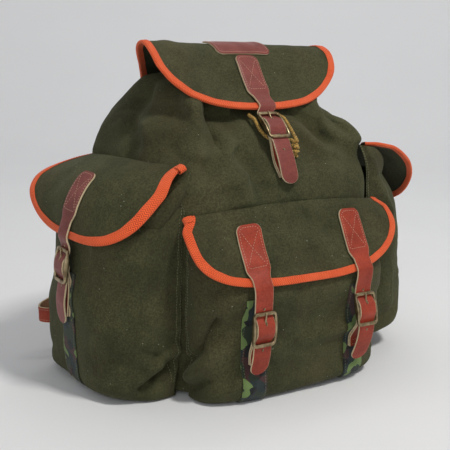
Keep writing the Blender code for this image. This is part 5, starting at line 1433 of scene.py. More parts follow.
def build_buckle(name, metal):
    """Arched rectangular frame with rounded bars, and its centre bar."""
    centre, down, outward, lateral = buckle_frame(STRAPS[name])
    half_wide, half_long = 0.5 * (BUCKLE_WIDTH - RAIL_WIDTH), 0.5 * (BUCKLE_LENGTH - END_BAR_WIDTH)
    arcs = rounded_box((0.0, 0.0), half_wide, half_long, [BUCKLE_CORNER] * 4, 9, 1).reshape(4, 9, 2)
    path = np.vstack([part for arc, following in zip(arcs, np.roll(arcs, -1, axis=0))
                      for part in (arc, np.linspace(arc[-1], following[0], 16)[1:-1])])
    run = unit(np.roll(path, -1, axis=0) - np.roll(path, 1, axis=0))
    points, uv = [], []
    for place, away in zip(path, np.stack([run[:, 1], -run[:, 0]], axis=1)):
        share = abs(away[1]) ** 2
        width = RAIL_WIDTH + (END_BAR_WIDTH - RAIL_WIDTH) * share
        arch = RAIL_ARCH * (1.0 - min(abs(place[1]) / (0.5 * BUCKLE_LENGTH), 1.0) ** 2)
        top, low = END_BAR_HIGH + arch, END_BAR_LOW - 0.8 * arch
        top = low + (top - low) * (1.0 - 0.25 * (1.0 - share) * (abs(place[1]) / half_long) ** 2)
        for angle in circle(BUCKLE_SIDES):
            wide, high = (math.copysign(abs(value) ** 0.55, value)
                          for value in (math.cos(angle), math.sin(angle)))
            flat = place + away * 0.5 * width * wide
            raised = 0.5 * (top + low) + 0.5 * (top - low) * high
            points.append(centre + lateral * flat[0] + down * flat[1] + outward * raised)
            uv.append((flat[0], flat[1]))
    faces = tube_faces(len(path), BUCKLE_SIDES, closed=True).tolist()
    base = len(points)
    for end in (-half_wide, half_wide):
        for angle in circle(BAR_SIDES):
            round_bar = CENTRE_BAR_RADIUS * (down * math.cos(angle) + outward * math.sin(angle))
            points.append(centre + lateral * end + round_bar)
            uv.append((end, 0.0))
    faces += (base + tube_faces(2, BAR_SIDES)).tolist()
    faces += [list(range(base, base + BAR_SIDES)), list(range(len(points) - 1, base + BAR_SIDES - 1, -1))]
    piece = add_mesh(name + "_buckle_brass", points, faces, [metal], uv, smooth_angle=45.0)
    finish_piece(piece, nodes=[name + "_buckle"])


def add_tube(name, route, radii, material, sides=14):
    """Closed round rod with a radius at each point of its route."""
    route = np.asarray(route, float)
    run = unit(np.gradient(route, axis=0))
    sideways = unit(np.cross(run[0], (0.31, 0.52, 0.79)))
    points, uv = [], []
    for place, forward, radius, along in zip(route, run, radii, lengths_along(route)):
        sideways = unit(sideways - forward * (sideways @ forward))
        up = np.cross(forward, sideways)
        for side, angle in enumerate(circle(sides)):
            swell = radius(angle, along) if callable(radius) else radius
            points.append(place + swell * (sideways * math.cos(angle) + up * math.sin(angle)))
            uv.append((side / sides, along))
    faces = tube_faces(len(route), sides).tolist()
    faces += [list(range(sides - 1, -1, -1)), list(range(len(points) - sides, len(points)))]
    return add_mesh(name, points, faces, [material], uv, smooth_angle=55.0)


def build_prong(name, metal):
    """Prong: a wire bent round the centre bar, through the strap and onto the upper end bar."""
    route = smooth_curve(by_buckle(STRAPS[name], PRONG_ROUTE), 8)
    share = lengths_along(route) / lengths_along(route)[-1]
    radii = PRONG_RADIUS - PRONG_TAPER * held((share - 0.75) / 0.25) ** 2
    radii[-1] = PRONG_TIP
    finish_piece(add_tube(name + "_prong_brass", route, radii, metal), nodes=[name + "_prong"])


def build_webbing(name, materials, thread):
    """Woven band on a pocket, from under its flap down to the bottom."""
    strap = STRAPS[name]
    kind, middle = strap["flap"], strap["across"]
    face, _, _, normals = pocket_cloth(kind)
    axis = FACES[kind][0]
    low, high = POCKET_ROWS[kind][WEBBING_ROWS[0]][0], POCKET_ROWS[kind][WEBBING_ROWS[1] - 1][0]
    inside = slice(POCKET_ACROSS // 6, -(POCKET_ACROSS // 6))
    wanted = middle + WEBBING_WIDTH * np.linspace(-0.5, 0.5, WEBBING_COLUMNS)
    bottom = int(np.argmin(face[:, POCKET_ACROSS // 2, 2]))
    seat, up = [], []
    for ring, turned in list(zip(face, normals))[bottom:]:
        order = np.argsort(ring[inside, axis])
        place, raised = (at_lengths(grid[inside][order], wanted, ring[inside][order, axis])
                         for grid in (ring, turned))
        if low - 0.0005 <= place[:, 2].mean() <= high:
            seat.append(place)
            up.append(unit(raised))
    seat, up = np.array(seat), np.array(up)
    arch = np.sqrt(held(1.0 - np.abs(np.linspace(-1.0, 1.0, WEBBING_COLUMNS)) ** 8))[None, :, None]
    back = seat + up * WEBBING_STANDOFF
    front = back + up * WEBBING * (0.45 + 0.55 * arch)
    uv = stacked((wanted - middle)[None, :], lengths_along(seat[:, WEBBING_COLUMNS // 2])[:, None])
    piece = add_cloth(name + "_webbing_band", front, back, uv, materials)
    finish_piece(piece, nodes=[name + "_webbing"])
    lines = [(seat[:, column] + up[:, column] * (WEBBING_STANDOFF + WEBBING), up[:, column])
             for column in (1, WEBBING_COLUMNS - 2)]
    add_stitches(name + "_webbing_stitches", lines, thread, radius=WEBBING_THREAD)


def edge_steps(close, inner, count):
    """Places from -1 to 1: some close to both ends, and even ones between them."""
    return np.concatenate([-np.array(close), np.linspace(-inner, inner, count), close[::-1]])


def rim_height(edge):
    """Height of cut leather at a distance from its edge, where it is rounded off."""
    return LEATHER - RIM_DROP * np.exp(-edge / RIM_REACH)


def build_patch(leather, thread):
    """Bare leather patch sewn across the ridge of the main flap."""
    centre_a, centre_b, half_long, half_wide, corner, inset = PATCH
    lift = 0.5 * FLAP_CLOTH + GAP + PATCH_LIFT
    face, back, flat = [], [], []
    across = edge_steps((1.0, 0.985, 0.96), 0.92, 41)
    for share in edge_steps((1.0, 0.985, 0.95, 0.9), 0.84, 25):
        half = round_end((1.0 - abs(share)) * half_wide, half_long, corner)
        places = stacked(centre_a + half * across, centre_b + half_wide * share)
        seat, up, _ = flap_cloth("main", *places.T)
        rim = np.minimum((1.0 - np.abs(across)) * half, (1.0 - abs(share)) * half_wide)
        soften = rim_height(rim) + 0.0001 * soft_noise(seat, 15, 0.02)
        back.append(seat + up * lift)
        face.append(seat + up * (lift + soften)[:, None])
        flat.append(places)
    face, back, flat = np.array(face), np.array(back), np.array(flat)
    piece = add_cloth("top_patch_leather", face, back, flat, leather, smooth_angle=40.0)
    finish_piece(piece, nodes=["top_patch"])
    turn = [corner - inset] * 4
    border = rounded_box((centre_a, centre_b), half_long - inset, half_wide - inset, turn, 7, 1)
    seat, up, _ = flap_cloth("main", *even_ring(border, 240).T)
    add_stitches("top_patch_stitches", [(seat + up * (lift + LEATHER), up)], thread, pitch=0.003,
                 length=0.0021, radius=FINE_THREAD)


def build_knot(cord, frayed):
    """Overhand knot of the drawcord, a coil round a core, and its two frayed ends."""
    x, y, z = CORD_KNOT
    turn = np.linspace(0.0, 1.0, 90)
    angle = TURN * KNOT_TURNS * turn
    height = z + KNOT_TOP - KNOT_FALL * turn + 0.0012 * np.sin(angle * 0.5)
    coil = stacked(x + KNOT_COIL * np.cos(angle), y + KNOT_COIL * np.sin(angle), height)
    core = np.linspace((x, y, z + KNOT_CORE[0]), (x, y, z + KNOT_CORE[1]), 12)
    tails = [smooth_curve(np.array(CORD_KNOT) + route, 6) for route in KNOT_TAILS]
    parts = []
    for index, (route, radius, swell) in enumerate(((coil, 0.0023, 0.0), (core, 0.0028, 0.0),
                                                    (tails[0], 0.0019, 0.35), (tails[1], 0.0019, 0.35))):
        radii = radius * (1.0 + swell * np.linspace(0.0, 1.0, len(route)) ** 2)
        radii = [braid(value) for value in radii]
        parts.append(add_tube("knot_part_%d" % index, route, radii, cord, sides=24))
    knot = join_pieces("drawcord_knot_braid", parts)
    finish_piece(knot, nodes=["drawcord_knot"])
    hairs = []
    for seed, tail in zip((3, 4), tails):
        generator = np.random.default_rng(seed)
        for _ in range(FRAY_HAIRS):
            lean = generator.normal(size=3) * (0.5, 0.5, 0.2) + (0.0, 0.0, -1.0)
            start = tail[-1] + (*(generator.normal(size=2) * 0.0008), 0.0006)
            hair = (start, start + 0.0010 * unit(lean), start + 0.0020 * unit(lean + (0, 0, -0.2)))
            hairs.append(add_tube("fray", smooth_curve(hair, 2), [FRAY_RADIUS] * 5, frayed, 5))
    fray = join_pieces("drawcord_fray", hairs)
    return knot, finish_piece(fray)


def build_cords(cord, frayed):
    """Drawcord: two braided strands out of the hem that meet in a knot with frayed ends."""
    knot, fray = build_knot(cord, frayed)
    for name, (across, height) in CORD_EXITS.items():
        reach = float(sack_at("front", across, height))
        start = [(across, reach - CORD_RADIUS - GAP, height), (across, reach - 0.006, height - 0.0015)]
        curve = smooth_curve(start + list(CORD_ROUTES[name]))
        total = lengths_along(curve)[-1]
        line = even_points(curve, int(total / CORD_STEP))
        piece = add_tube(name + "_braid", line, [braid(CORD_RADIUS)] * len(line), cord, sides=28)
        finish_piece(piece, nodes=[name])


def braid(radius):
    """Radius round a braided cord: two sets of strands that pass over and under each other."""
    def at(angle, along):
        """Radius at an angle round the braid and a distance along it."""
        one = math.sin(BRAID_TURNS * angle + TURN * along / BRAID_RISE * 2.0)
        other = math.sin(BRAID_TURNS * angle - TURN * along / BRAID_RISE * 2.0)
        return radius * (0.93 + 0.07 * one * other)
    return at


def join_pieces(name, pieces):
    """One piece made of several, with their maps and materials kept."""
    shape = bmesh.new()
    for piece in pieces:
        shape.from_mesh(piece.data)
    mesh = bpy.data.meshes.new(name)
    for material in pieces[0].data.materials:
        mesh.materials.append(material)
    shape.to_mesh(mesh)
    shape.free()
    mesh.shade_smooth()
    for piece in pieces:
        bpy.data.objects.remove(piece, do_unlink=True)
    return add_object(name, mesh)


def edge_stitches(curve, lateral, half, thickness):
    """Two rows of stitches along the edges of a strap."""
    run = unit(np.gradient(curve, axis=0))
    normal = unit(np.cross(lateral, run))
    lines = []
    for side in (-1.0, 1.0):
        row = curve + lateral * (side * (half - STITCH_INSET))[:, None]
        row = row + normal * (0.5 * thickness + THREAD_LIFT)
        along = lengths_along(row)
        keep = (along > STITCH_FROM_END) & (along < along[-1] - STITCH_FROM_END)
        lines.append((row[keep], normal[keep]))
    return lines


def build_yoke(leather):
    """Leather yoke across the top of the back panel; its rows of stitches are handed back."""
    face, back, flat = [], [], []
    for height in (YOKE_LOW, 0.3005, 0.3015, *np.linspace(0.303, 0.341, 14), 0.3425, 0.3435, YOKE_HIGH):
        rim = min(height - YOKE_LOW, YOKE_HIGH - height)
        half = round_end(rim, YOKE_HALF, YOKE_CORNER)
        across = half * edge_steps((1.0, 0.99), 0.97, 31)
        row = stacked(across, sack_at("back", across, height) + YOKE_LIFT, height)
        edge = np.minimum(rim, half - np.abs(across))
        back.append(row)
        face.append(row + np.outer(rim_height(edge), (0.0, 1.0, 0.0)))
        flat.append(row[:, [0, 2]])
    face, back, flat = np.array(face), np.array(back), np.array(flat)
    yoke = add_cloth("back_yoke_leather", face, back, flat, leather, smooth_angle=40.0)
    finish_piece(yoke, nodes=["back_yoke"])
    across = np.linspace(-YOKE_HALF + 0.004, YOKE_HALF - 0.004, 60)
    on_leather = YOKE_LIFT + LEATHER + THREAD_LIFT
    return [(stacked(across, sack_at("back", across, height) + on_leather, height), outward("back"))
            for height in YOKE_ROWS]


def build_carrying_strap(name, node, curve, lateral, thickness, leather):
    """One carrying strap from a route with half widths; its rows of stitches are handed back."""
    route, half = curve[:, :3], curve[:, 3]
    piece = add_strap(name, route, lateral, half, thickness, leather)
    finish_piece(piece, nodes=[node])
    return edge_stitches(route, unit(lateral), half, thickness)


def build_carrying_gear(leather, thread):
    """Yoke, shoulder straps, lower straps and the carrying loop behind the back panel."""
    lines = build_yoke(leather)
    on_yoke = YOKE_LIFT + LEATHER + GAP
    on_back = GAP + LOWER_LIFT + 0.5 * LOWER_LEATHER
    for name, side in (("left", -1.0), ("right", 1.0)):
        route = np.array(SHOULDER_ROUTE)
        route[:, 0] *= side
        for row in route[:2]:
            row[1] = back_reach(row[0], row[2], row[3], 0.0) + on_yoke + 0.5 * CARRY_LEATHER
        curve = even_points(smooth_curve(route, 24), 170)
        lateral = np.broadcast_to((1.0, 0.0, 0.0), (len(curve), 3))
        lines += build_carrying_strap(name + "_shoulder_leather", name + "_shoulder_strap", curve,
                                      lateral, CARRY_LEATHER, leather)
        route = np.array(LOWER_ROUTE)
        route[:, 0] *= side
        for row in route[:3]:
            row[1] = back_reach(row[0], row[2], 0.002, row[3]) + on_back
        scale = np.array([1.0, 1.0, 1.0, 1.0, 0.0005])
        curve = smooth_curve(route * scale, 14) / scale
        turn = np.radians(curve[:, 4])
        lateral = -stacked(np.cos(turn), 0.0, side * np.sin(turn))
        lines += build_carrying_strap(name + "_lower_leather", name + "_lower_strap", curve,
                                      lateral, LOWER_LEATHER, leather)
    foot = back_reach(0.017, 0.326, 0.0, 0.0) + on_yoke + LOOP_HALF * unit(LOOP_TURN)[1]
    half = ((0.017, foot, 0.326), (0.0165, foot + 0.009, 0.341), (0.010, foot + 0.019, 0.352))
    loop = smooth_curve([(-x, y, z) for x, y, z in half] + [(0.0, foot + 0.022, 0.356), *half[::-1]])
    half = [LOOP_HALF] * len(loop)
    piece = add_strap("carrying_loop_leather", loop, -np.array(LOOP_TURN), half, LEATHER, leather)
    finish_piece(piece, nodes=["carrying_loop"])
    add_stitches("carrying_stitches", lines, thread, radius=CARRY_THREAD)


def build_seam_stitches(thread):
    """Double rows of stitches beside each pocket's seams, and the hem's row."""
    for kind in ("front", "left", "right"):
        face, _, uv, normals = pocket_cloth(kind)
        lines = []
        along = uv[0, :, 0]
        rows = slice(int(SEAM_ROWS_FROM * POCKET_DEEP), None)
        for distance in (*SEAM_ROWS, *(along[-1] - distance for distance in SEAM_ROWS)):
            after = int(np.clip(np.searchsorted(along, distance), 1, len(along) - 1))
            share = (distance - along[after - 1]) / (along[after] - along[after - 1])
            line = face[rows, after - 1] * (1.0 - share) + face[rows, after] * share
            up = unit(normals[rows, after - 1] * (1.0 - share) + normals[rows, after] * share)
            lines.append((line + up * THREAD_LIFT, up))
        add_stitches(kind + "_pocket_stitches", lines, thread, radius=FINE_THREAD)


def build_hem_stitches(sack, thread):
    """Row of stitches that closes the hem round the drawcord."""
    ring = sack[int(HEM_ROW * len(sack))]
    normals = ring_normals(ring[:-1])
    add_stitches("hem_stitches", [(ring, np.vstack([normals, normals[:1]]))], thread, radius=FINE_THREAD)


class Graph:
    """Short way to write the nodes of one material."""

    def __init__(self, name, roughness=0.6, metallic=0.0, sheen=0.0, coat=0.0, specular=0.5):
        self.material = bpy.data.materials.new(name)
        self.material.use_nodes = True
        self.tree = self.material.node_tree
        self.shader = self.tree.nodes["Principled BSDF"]
        inputs = self.shader.inputs
        inputs["Roughness"].default_value = roughness
        inputs["Metallic"].default_value = metallic
        inputs["Specular IOR Level"].default_value = specular
        inputs["Sheen Weight"].default_value = sheen
        inputs["Sheen Roughness"].default_value = 0.5
        inputs["Coat Weight"].default_value = coat
        inputs["Coat Roughness"].default_value = 0.35
        coordinates = self.tree.nodes.new("ShaderNodeTexCoord")
        self.flat, self.solid = coordinates.outputs["UV"], coordinates.outputs["Object"]
        split = self.tree.nodes.new("ShaderNodeSeparateXYZ")
        self.tree.links.new(self.flat, split.inputs[0])
        self.u, self.v = split.outputs[0], split.outputs[1]

    def put(self, socket, value):
        """Link a socket, or set its value."""
        if isinstance(value, bpy.types.NodeSocket):
            self.tree.links.new(value, socket)
        else:
            socket.default_value = value

    def node(self, kind, values, output=0, **settings):
        """Output of a new node, with values for its sockets by name or number."""
        made = self.tree.nodes.new("ShaderNode" + kind)
        for name, value in settings.items():
            setattr(made, name, value)
        for socket, value in values.items():
            self.put(made.inputs[socket], value)
        return made.outputs[output]

    def math(self, operation, one, other=0.0):
        """Result of one operation on numbers."""
        return self.node("Math", {0: one, 1: other}, operation=operation)

    def times(self, one, other):
        """Product of two numbers."""
        return self.math("MULTIPLY", one, other)

    def plus(self, one, other):
        """Sum of two numbers."""
        return self.math("ADD", one, other)

    def above(self, value, limit):
        """1 where a value is above a limit, and 0 elsewhere."""
        return self.math("GREATER_THAN", value, limit)

    def wave(self, place, size):
        """Sine of a place, which repeats at the given size in metres."""
        return self.math("SINE", self.times(place, TURN / size))

    def stretch(self, vector, scale):
        """Places scaled along each axis."""
        return self.node("Mapping", {"Vector": vector, "Scale": scale})

    def shift(self, vector, place):
        """Places moved by a fixed step."""
        return self.node("Mapping", {"Vector": vector, "Location": place})

    def noise(self, vector, scale, detail=2.0, roughness=0.5):
        """Soft noise from 0 to 1."""
        values = {"Vector": vector, "Scale": scale, "Detail": detail, "Roughness": roughness}
        return self.node("TexNoise", values)

    def cells(self, vector, scale):
        """Distance from the middle of scattered cells."""
        return self.node("TexVoronoi", {"Vector": vector, "Scale": scale}, "Distance")

    def span(self, value, low, high, to_low=0.0, to_high=1.0):
        """Value moved from one range to another, and held at its ends."""
        return self.node("MapRange", {0: value, 1: low, 2: high, 3: to_low, 4: to_high})

    def mix(self, share, one, other, blend="MIX"):
        """Mix of two colours."""
        one, other = (colour if isinstance(colour, bpy.types.NodeSocket) else (*colour, 1.0)
                      for colour in (one, other))
        return self.node("Mix", {0: share, 6: one, 7: other}, 2, data_type="RGBA", blend_type=blend)

    def tint(self, colour, field, low, high, most, other):
        """Colour turned towards another one where a field is high."""
        return self.mix(self.span(field, low, high, 0.0, most), colour, other)

    def finish(self, colour, height=None, depth=0.0004, strength=0.5, roughness=None):
        """Join colour, bump and roughness to the shader."""
        self.put(self.shader.inputs["Base Color"], colour)
        if roughness is not None:
            self.put(self.shader.inputs["Roughness"], roughness)
        if height is not None:
            values = {"Strength": strength, "Distance": depth, "Height": height}
            self.put(self.shader.inputs["Normal"], self.node("Bump", values))
        return self.material


def scaled(colour, share):
    """Colour made lighter or darker."""
    return tuple(share * value for value in colour)


def weave_height(g, pitch):
    """Height of a plain weave from the flat map, with thick and thin threads."""
    weave = g.times(g.wave(g.u, pitch), g.wave(g.v, pitch))
    slubs = g.plus(g.noise(g.stretch(g.flat, (1100.0, 70.0, 1.0)), 1.0),
                   g.noise(g.stretch(g.flat, (70.0, 1100.0, 1.0)), 1.0))
    return g.plus(g.times(weave, 0.35), slubs), slubs


def canvas_material(name, dark, light, lint=True):
    """Heavy olive canvas: woven, softly mottled, a little worn and dusted with lint."""
    g = Graph(name, roughness=0.92, sheen=0.10, specular=0.25)
    g.shader.inputs["Sheen Tint"].default_value = (0.55, 0.58, 0.36, 1.0)
    height, slubs = weave_height(g, 0.0012)
    mottle = g.noise(g.solid, 24.0, 4.0, 0.62)
    fade = g.noise(g.solid, 7.0, 2.0, 0.5)
    colour = g.mix(g.span(mottle, 0.32, 0.72), dark, light)
    colour = g.tint(colour, fade, 0.42, 0.68, 0.45, scaled(light, 1.22))
    colour = g.tint(colour, slubs, 0.75, 1.30, 0.5, g.mix(0.5, colour, (0.0, 0.0, 0.0)))
    grain = g.noise(g.solid, 1100.0, 3.0, 0.75)
    grey = g.mix(g.span(grain, 0.3, 0.7), (0.60, 0.60, 0.60), (1.5, 1.5, 1.42))
    colour = g.mix(0.7, colour, grey, "MULTIPLY")
    flecks = g.noise(g.solid, 430.0, 3.0, 0.7)
    grey = g.mix(g.span(flecks, 0.34, 0.66), (0.66, 0.64, 0.60), (1.36, 1.34, 1.26))
    colour = g.mix(1.0, colour, grey, "MULTIPLY")
    brown = g.noise(g.stretch(g.solid, (1.0, 1.0, 0.8)), 13.0, 3.0, 0.6)
    warmer = g.mix(1.0, colour, (1.22, 0.95, 0.92), "MULTIPLY")
    colour = g.tint(colour, brown, 0.46, 0.68, 0.40, warmer)
    if lint:
        specks = g.times(g.math("LESS_THAN", g.cells(g.solid, 115.0), 0.075),
                        g.above(g.noise(g.solid, 60.0), 0.60))
        colour = g.mix(g.times(specks, 0.75), colour, (0.30, 0.31, 0.24))
    puckers = g.noise(g.solid, 130.0, 3.0, 0.55)
    height = g.plus(height, g.times(puckers, 1.6))
    return g.finish(colour, height, 0.0005, 0.55, g.span(mottle, 0.3, 0.7, 0.96, 0.84))


def edge_canvas_material():
    """Cut and turned edges of the canvas."""
    g = Graph("canvas_edge", roughness=0.95, specular=0.2)
    fuzz = g.noise(g.solid, 1400.0, 3.0, 0.7)
    colour = g.mix(g.span(fuzz, 0.3, 0.7), (0.020, 0.022, 0.011), (0.060, 0.064, 0.034))
    return g.finish(colour, fuzz, 0.0004, 0.6)


def tape_material():
    """Bright orange edge tape with slanting ribs that meet in the middle of its width, and painted shade in
    the grooves between the ribs.
    """
    g = Graph("orange_tape", roughness=0.72, sheen=0.25, specular=0.3)
    g.shader.inputs["Sheen Tint"].default_value = (1.0, 0.55, 0.35, 1.0)
    slant = g.math("ABSOLUTE", g.math("SUBTRACT", g.math("PINGPONG", g.v, 0.0048), 0.0024))
    ribs = g.wave(g.plus(g.u, slant), 0.0026)
    threads = g.wave(g.v, 0.0007)
    wear = g.noise(g.solid, 55.0, 4.0, 0.6)
    # Painted shade: the tape is darker in the grooves between its ribs, where the bump is low.
    colour = g.mix(g.span(ribs, -0.9, 0.5), (0.46, 0.036, 0.009), (1.00, 0.145, 0.034))
    colour = g.tint(colour, wear, 0.35, 0.70, 0.3, (0.95, 0.170, 0.050))
    grime = g.noise(g.solid, 18.0, 3.0, 0.6)
    colour = g.tint(colour, grime, 0.60, 0.80, 0.35, (0.60, 0.060, 0.020))
    height = g.plus(g.times(ribs, 0.7), g.times(threads, 0.25))
    height = g.plus(height, g.noise(g.solid, 1200.0))
    return g.finish(colour, height, 0.0006, 0.75, g.span(wear, 0.3, 0.7, 0.8, 0.62))


def leather_material(name, deep, warm, roughness=0.40):
    """Oiled red-brown leather: fine grain, soft creases, uneven dye and a low gloss."""
    g = Graph(name, roughness=roughness, coat=0.03, specular=0.20)
    grain = g.cells(g.solid, 1150.0)
    pores = g.noise(g.solid, 520.0, 3.0, 0.6)
    cloud = g.noise(g.solid, 38.0, 4.0, 0.6)
    creases = g.noise(g.stretch(g.flat, (45.0, 420.0, 1.0)), 1.0, 3.0, 0.65)
    colour = g.mix(g.span(cloud, 0.30, 0.72), deep, warm)
    colour = g.tint(colour, creases, 0.56, 0.78, 0.45, scaled(deep, 0.55))
    scuffs = g.times(g.span(g.noise(g.solid, 210.0, 4.0, 0.7), 0.60, 0.74),
                    g.span(g.noise(g.solid, 30.0), 0.45, 0.65))
    colour = g.mix(g.times(scuffs, 0.35), colour, (0.46, 0.24, 0.17))
    colour = g.mix(g.span(pores, 0.35, 0.55, 0.35, 0.0), colour, scaled(deep, 0.5))
    height = g.plus(g.times(grain, 0.8), g.plus(pores, creases))
    gloss = g.span(cloud, 0.3, 0.7, roughness + 0.10, roughness - 0.05)
    return g.finish(colour, height, 0.00022, 0.42, gloss)


def raw_leather_material(name, dark, light, scale=700.0):
    """Undyed cut edge or flesh side of leather, with its fibres."""
    g = Graph(name, roughness=0.86, sheen=0.12, specular=0.25)
    fibres = g.noise(g.solid, scale, 4.0, 0.7)
    stain = g.noise(g.solid, 70.0, 3.0, 0.6)
    colour = g.mix(g.span(fibres, 0.30, 0.72), dark, light)
    colour = g.tint(colour, stain, 0.52, 0.78, 0.55, scaled(dark, 0.55))
    return g.finish(colour, fibres, 0.0004, 0.5)


def brass_material():
    """Antique brass: brown tarnish in the hollows, and worn brighter metal."""
    g = Graph("antique_brass_worn", roughness=0.38, metallic=1.0)
    patina = g.noise(g.solid, 85.0, 4.0, 0.55)
    scratches = g.noise(g.stretch(g.solid, (2600.0, 300.0, 300.0)), 1.0, 2.0, 0.6)
    colour = g.mix(g.span(patina, 0.38, 0.62), (0.170, 0.122, 0.066), (0.42, 0.335, 0.200))
    colour = g.tint(colour, scratches, 0.60, 0.72, 0.35, (0.62, 0.53, 0.36))
    height = g.plus(patina, g.times(scratches, 0.4))
    return g.finish(colour, height, 0.00008, 0.20, g.span(patina, 0.36, 0.64, 0.46, 0.32))


def webbing_material():
    """Woven band with blotches of greens, brown and near black in no set pattern, and painted shade in the
    grooves between its ribs.
    """
    g = Graph("blotched_webbing", roughness=0.85, sheen=0.12, specular=0.3)
    warp = g.noise(g.solid, 160.0, 2.0)
    bend = g.node("CombineXYZ", {0: g.times(warp, 0.004), 2: g.times(warp, -0.003)})
    place = g.node("VectorMath", {0: g.solid, 1: bend}, operation="ADD")
    blotch = g.above(g.noise(g.stretch(place, (1.0, 1.0, 0.8)), 44.0, 0.5), 0.52)
    colour = g.mix(blotch, (0.017, 0.030, 0.031), (0.026, 0.042, 0.022))
    blotch = g.above(g.noise(g.stretch(place, (1.3, 1.0, 1.0)), 47.0, 0.5), 0.57)
    colour = g.mix(blotch, colour, (0.070, 0.028, 0.026))
    blotch = g.above(g.noise(g.shift(place, (0.37, 0.11, 0.23)), 42.0, 0.5), 0.565)
    colour = g.mix(blotch, colour, (0.175, 0.270, 0.080))
    blotch = g.above(g.noise(g.shift(place, (0.81, 0.53, 0.67)), 64.0, 0.5), 0.63)
    colour = g.mix(blotch, colour, (0.011, 0.012, 0.013))
    weave = g.times(g.wave(g.u, 0.0016), g.wave(g.v, 0.0011))
    ribs = g.wave(g.v, 0.0011)
    # Painted shade: darker towards near black in the grooves between the ribs, where the bump is low.
    colour = g.mix(g.span(ribs, -1.0, 1.0, 0.30, 0.0), colour, (0.008, 0.009, 0.008))
    height = g.plus(weave, g.times(ribs, 0.6))
    return g.finish(colour, height, 0.0004, 0.6)


def cord_material():
    """Yellow braid with painted shade in the dips between its strands, and dark flecks where single strands
    of another colour come up.
    """
    g = Graph("yellow_braid", roughness=0.70, sheen=0.10, specular=0.35)
    turn = g.times(g.u, BRAID_TURNS)
    rise = g.times(g.v, 2.0 / BRAID_RISE)
    one = g.math("SINE", g.times(g.plus(turn, rise), TURN))
    other = g.math("SINE", g.times(g.math("SUBTRACT", turn, rise), TURN))
    cross = g.times(one, other)
    fibres = g.noise(g.solid, 1500.0, 3.0, 0.6)
    # Painted shade: the braid is darker where its strands dip, in the same pattern as the cord's shape in
    # braid().
    colour = g.mix(g.span(cross, -0.7, 0.6), (0.15, 0.075, 0.014), (0.74, 0.46, 0.100))
    colour = g.mix(g.span(fibres, 0.35, 0.65, 0.35, 0.0), colour, (0.30, 0.17, 0.03))
    flecks = g.above(g.noise(g.stretch(g.flat, (5.0, 620.0, 1.0)), 1.0, 1.0), 0.545)
    colour = g.mix(g.times(flecks, 0.80), colour, (0.045, 0.028, 0.012))
    return g.finish(colour, g.plus(cross, fibres), 0.0004, 0.6)


def thread_material(name, dark, light):
    """Sewing thread with its twist."""
    g = Graph(name, roughness=0.62, sheen=0.15, specular=0.4)
    twist = g.noise(g.solid, 1800.0, 2.0, 0.6)
    return g.finish(g.mix(g.span(twist, 0.3, 0.7), dark, light), twist, 0.0002, 0.5)


def floor_material():
    """Plain pale studio paper."""
    g = Graph("studio_paper", roughness=0.95, specular=0.1)
    fibre = g.noise(g.solid, 3.0, 3.0, 0.5)
    colour = g.mix(g.span(fibre, 0.3, 0.7), (0.765, 0.770, 0.780), (0.780, 0.785, 0.795))
    return g.finish(colour)


# Camera worked out from the photo: turn and height of the view, distance, lens, aim and roll
VIEW_TURN = -33.0
VIEW_RISE = 11.7
VIEW_DISTANCE = 1.16
VIEW_PIXELS = 860.0
PHOTO_PIXELS = 450.0
SENSOR = 36.0
VIEW_AIM = (-0.023, 0.0, 0.1865)
VIEW_ROLL = 1.4
# Studio bowl: radius of its flat floor, and of the curve up to its wall
BOWL_FLAT = 1.9
BOWL_ROUND = 1.5


def build_camera():
    """Camera at the photo's view."""
    turn, rise, roll = (math.radians(angle) for angle in (VIEW_TURN, VIEW_RISE, VIEW_ROLL))
    back = np.array([math.sin(turn) * math.cos(rise), -math.cos(turn) * math.cos(rise), math.sin(rise)])
    right = np.array([math.cos(turn), math.sin(turn), 0.0])
    up = np.cross(back, right)
    across = right * math.cos(roll) + up * math.sin(roll)
    upward = -right * math.sin(roll) + up * math.cos(roll)
    data = bpy.data.cameras.new("camera")
    data.sensor_width = SENSOR
    data.lens = VIEW_PIXELS / PHOTO_PIXELS * SENSOR
    data.clip_start = 0.01
    camera = add_object("camera", data)
    camera.matrix_world = matrix_of((across, upward, back), np.array(VIEW_AIM) + back * VIEW_DISTANCE)
    bpy.context.scene.camera = camera


def add_lamp(name, place, aim, size, power, colour=(1.0, 1.0, 1.0)):
    """Square soft light at a place, turned to what it lights."""
    data = bpy.data.lights.new(name, "AREA")
    data.shape = "SQUARE"
    data.size = size
    data.energy = power
    data.color = colour
    away = unit(np.array(place, float) - np.array(aim, float))
    right = unit(np.cross((0.0, 0.0, 1.0), away))
    add_object(name, data).matrix_world = matrix_of((right, np.cross(away, right), away), place)


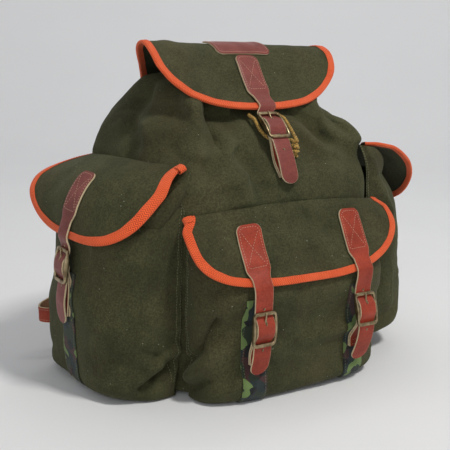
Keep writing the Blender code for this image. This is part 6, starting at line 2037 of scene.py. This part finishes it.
def build_studio():
    """Pale paper bowl under soft lights from the upper left."""
    rings = [(0.0, 0.0), (0.6, 0.0), (1.2, 0.0), (BOWL_FLAT, 0.0)]
    rings += [(BOWL_FLAT + BOWL_ROUND * math.sin(turn), BOWL_ROUND - BOWL_ROUND * math.cos(turn))
              for turn in np.radians(np.linspace(6.0, 84.0, 14))]
    rings += [(3.42, 2.4)]
    sides = 96
    points = [(0.0, 0.0, 0.0)]
    for radius, height in rings[1:]:
        points += [(radius * math.cos(angle), radius * math.sin(angle), height) for angle in circle(sides)]
    faces = [(0, 1 + side, 1 + (side + 1) % sides) for side in range(sides)]
    faces += (1 + tube_faces(len(rings) - 1, sides)[:, [0, 3, 2, 1]]).tolist()
    floor = add_mesh("studio_floor", points, faces, [floor_material()], smooth_angle=180.0, turn_out=False)
    world = bpy.data.worlds.new("studio")
    world.use_nodes = True
    glow = world.node_tree.nodes["Background"].inputs
    glow[0].default_value = (0.985, 0.99, 1.0, 1.0)
    glow[1].default_value = 0.32
    bpy.context.scene.world = world
    add_lamp("key", (0.40, -1.30, 2.40), (0.0, 0.0, 0.15), 0.40, 38.0, (1.0, 0.98, 0.94))
    add_lamp("fill", (-1.6, -1.6, 0.8), (0.0, 0.0, 0.2), 1.2, 9.5, (0.97, 0.98, 1.0))
    add_lamp("top", (-0.1, 0.5, 2.3), (0.0, 0.0, 0.2), 1.5, 4.0)
    add_lamp("backdrop", (1.0, 0.9, 2.6), (1.9, 2.9, 0.6), 1.2, 17.0)
    bpy.context.scene.view_settings.view_transform = "Standard"
    bpy.context.scene.view_settings.look = "None"


def main():
    """Build all the pieces, their materials and the studio."""
    build_camera()
    cord = cord_material()
    fray = thread_material("frayed_yarn", (0.34, 0.20, 0.05), (0.70, 0.50, 0.17))
    build_cords(cord, fray)
    outside = canvas_material("olive_canvas", (0.033, 0.034, 0.015), (0.060, 0.061, 0.028))
    # Darker copy of the canvas for the cloth's back side: painted shade for the undersides of the flaps and
    # the insides of the bag.
    inside = canvas_material("olive_canvas_back_painted_shade", (0.026, 0.028, 0.015), (0.048, 0.051, 0.027), lint=False)
    cloth = [outside, inside, edge_canvas_material()]
    tape = [tape_material()]
    leather = [leather_material("red_brown_leather", (0.235, 0.033, 0.017), (0.390, 0.058, 0.030)),
               raw_leather_material("flesh_side", (0.26, 0.13, 0.068), (0.42, 0.25, 0.14), 500.0),
               raw_leather_material("cut_edge", (0.40, 0.30, 0.165), (0.66, 0.55, 0.36))]
    brown = [leather_material("purple_brown_leather", (0.160, 0.038, 0.030), (0.255, 0.066, 0.054)),
             *leather[1:]]
    brass = brass_material()
    webbing = [webbing_material()]
    pale = thread_material("pale_thread", (0.34, 0.17, 0.11), (0.62, 0.42, 0.30))
    olive = thread_material("olive_thread", (0.10, 0.105, 0.050), (0.21, 0.215, 0.115))
    orange = thread_material("orange_thread", (0.55, 0.060, 0.014), (0.85, 0.13, 0.035))
    sack = build_sack(cloth)
    for kind in ("front", "left", "right"):
        build_pocket(kind, cloth)
    for kind in FLAPS:
        build_flap(kind, cloth, tape, orange)
        if kind in TAPE_TABS:
            build_tape_tab(kind, tape * 3)
    build_patch(brown, pale)
    for name in STRAPS:
        build_strap(name, brown if name in ("main", "left") else leather, pale)
        build_billet(name, leather, pale)
        build_buckle(name, brass)
        build_prong(name, brass)
        if name != "main":
            build_webbing(name, webbing, olive)
    build_carrying_gear(leather, pale)
    build_seam_stitches(olive)
    build_hem_stitches(sack, olive)
    build_studio()


main()
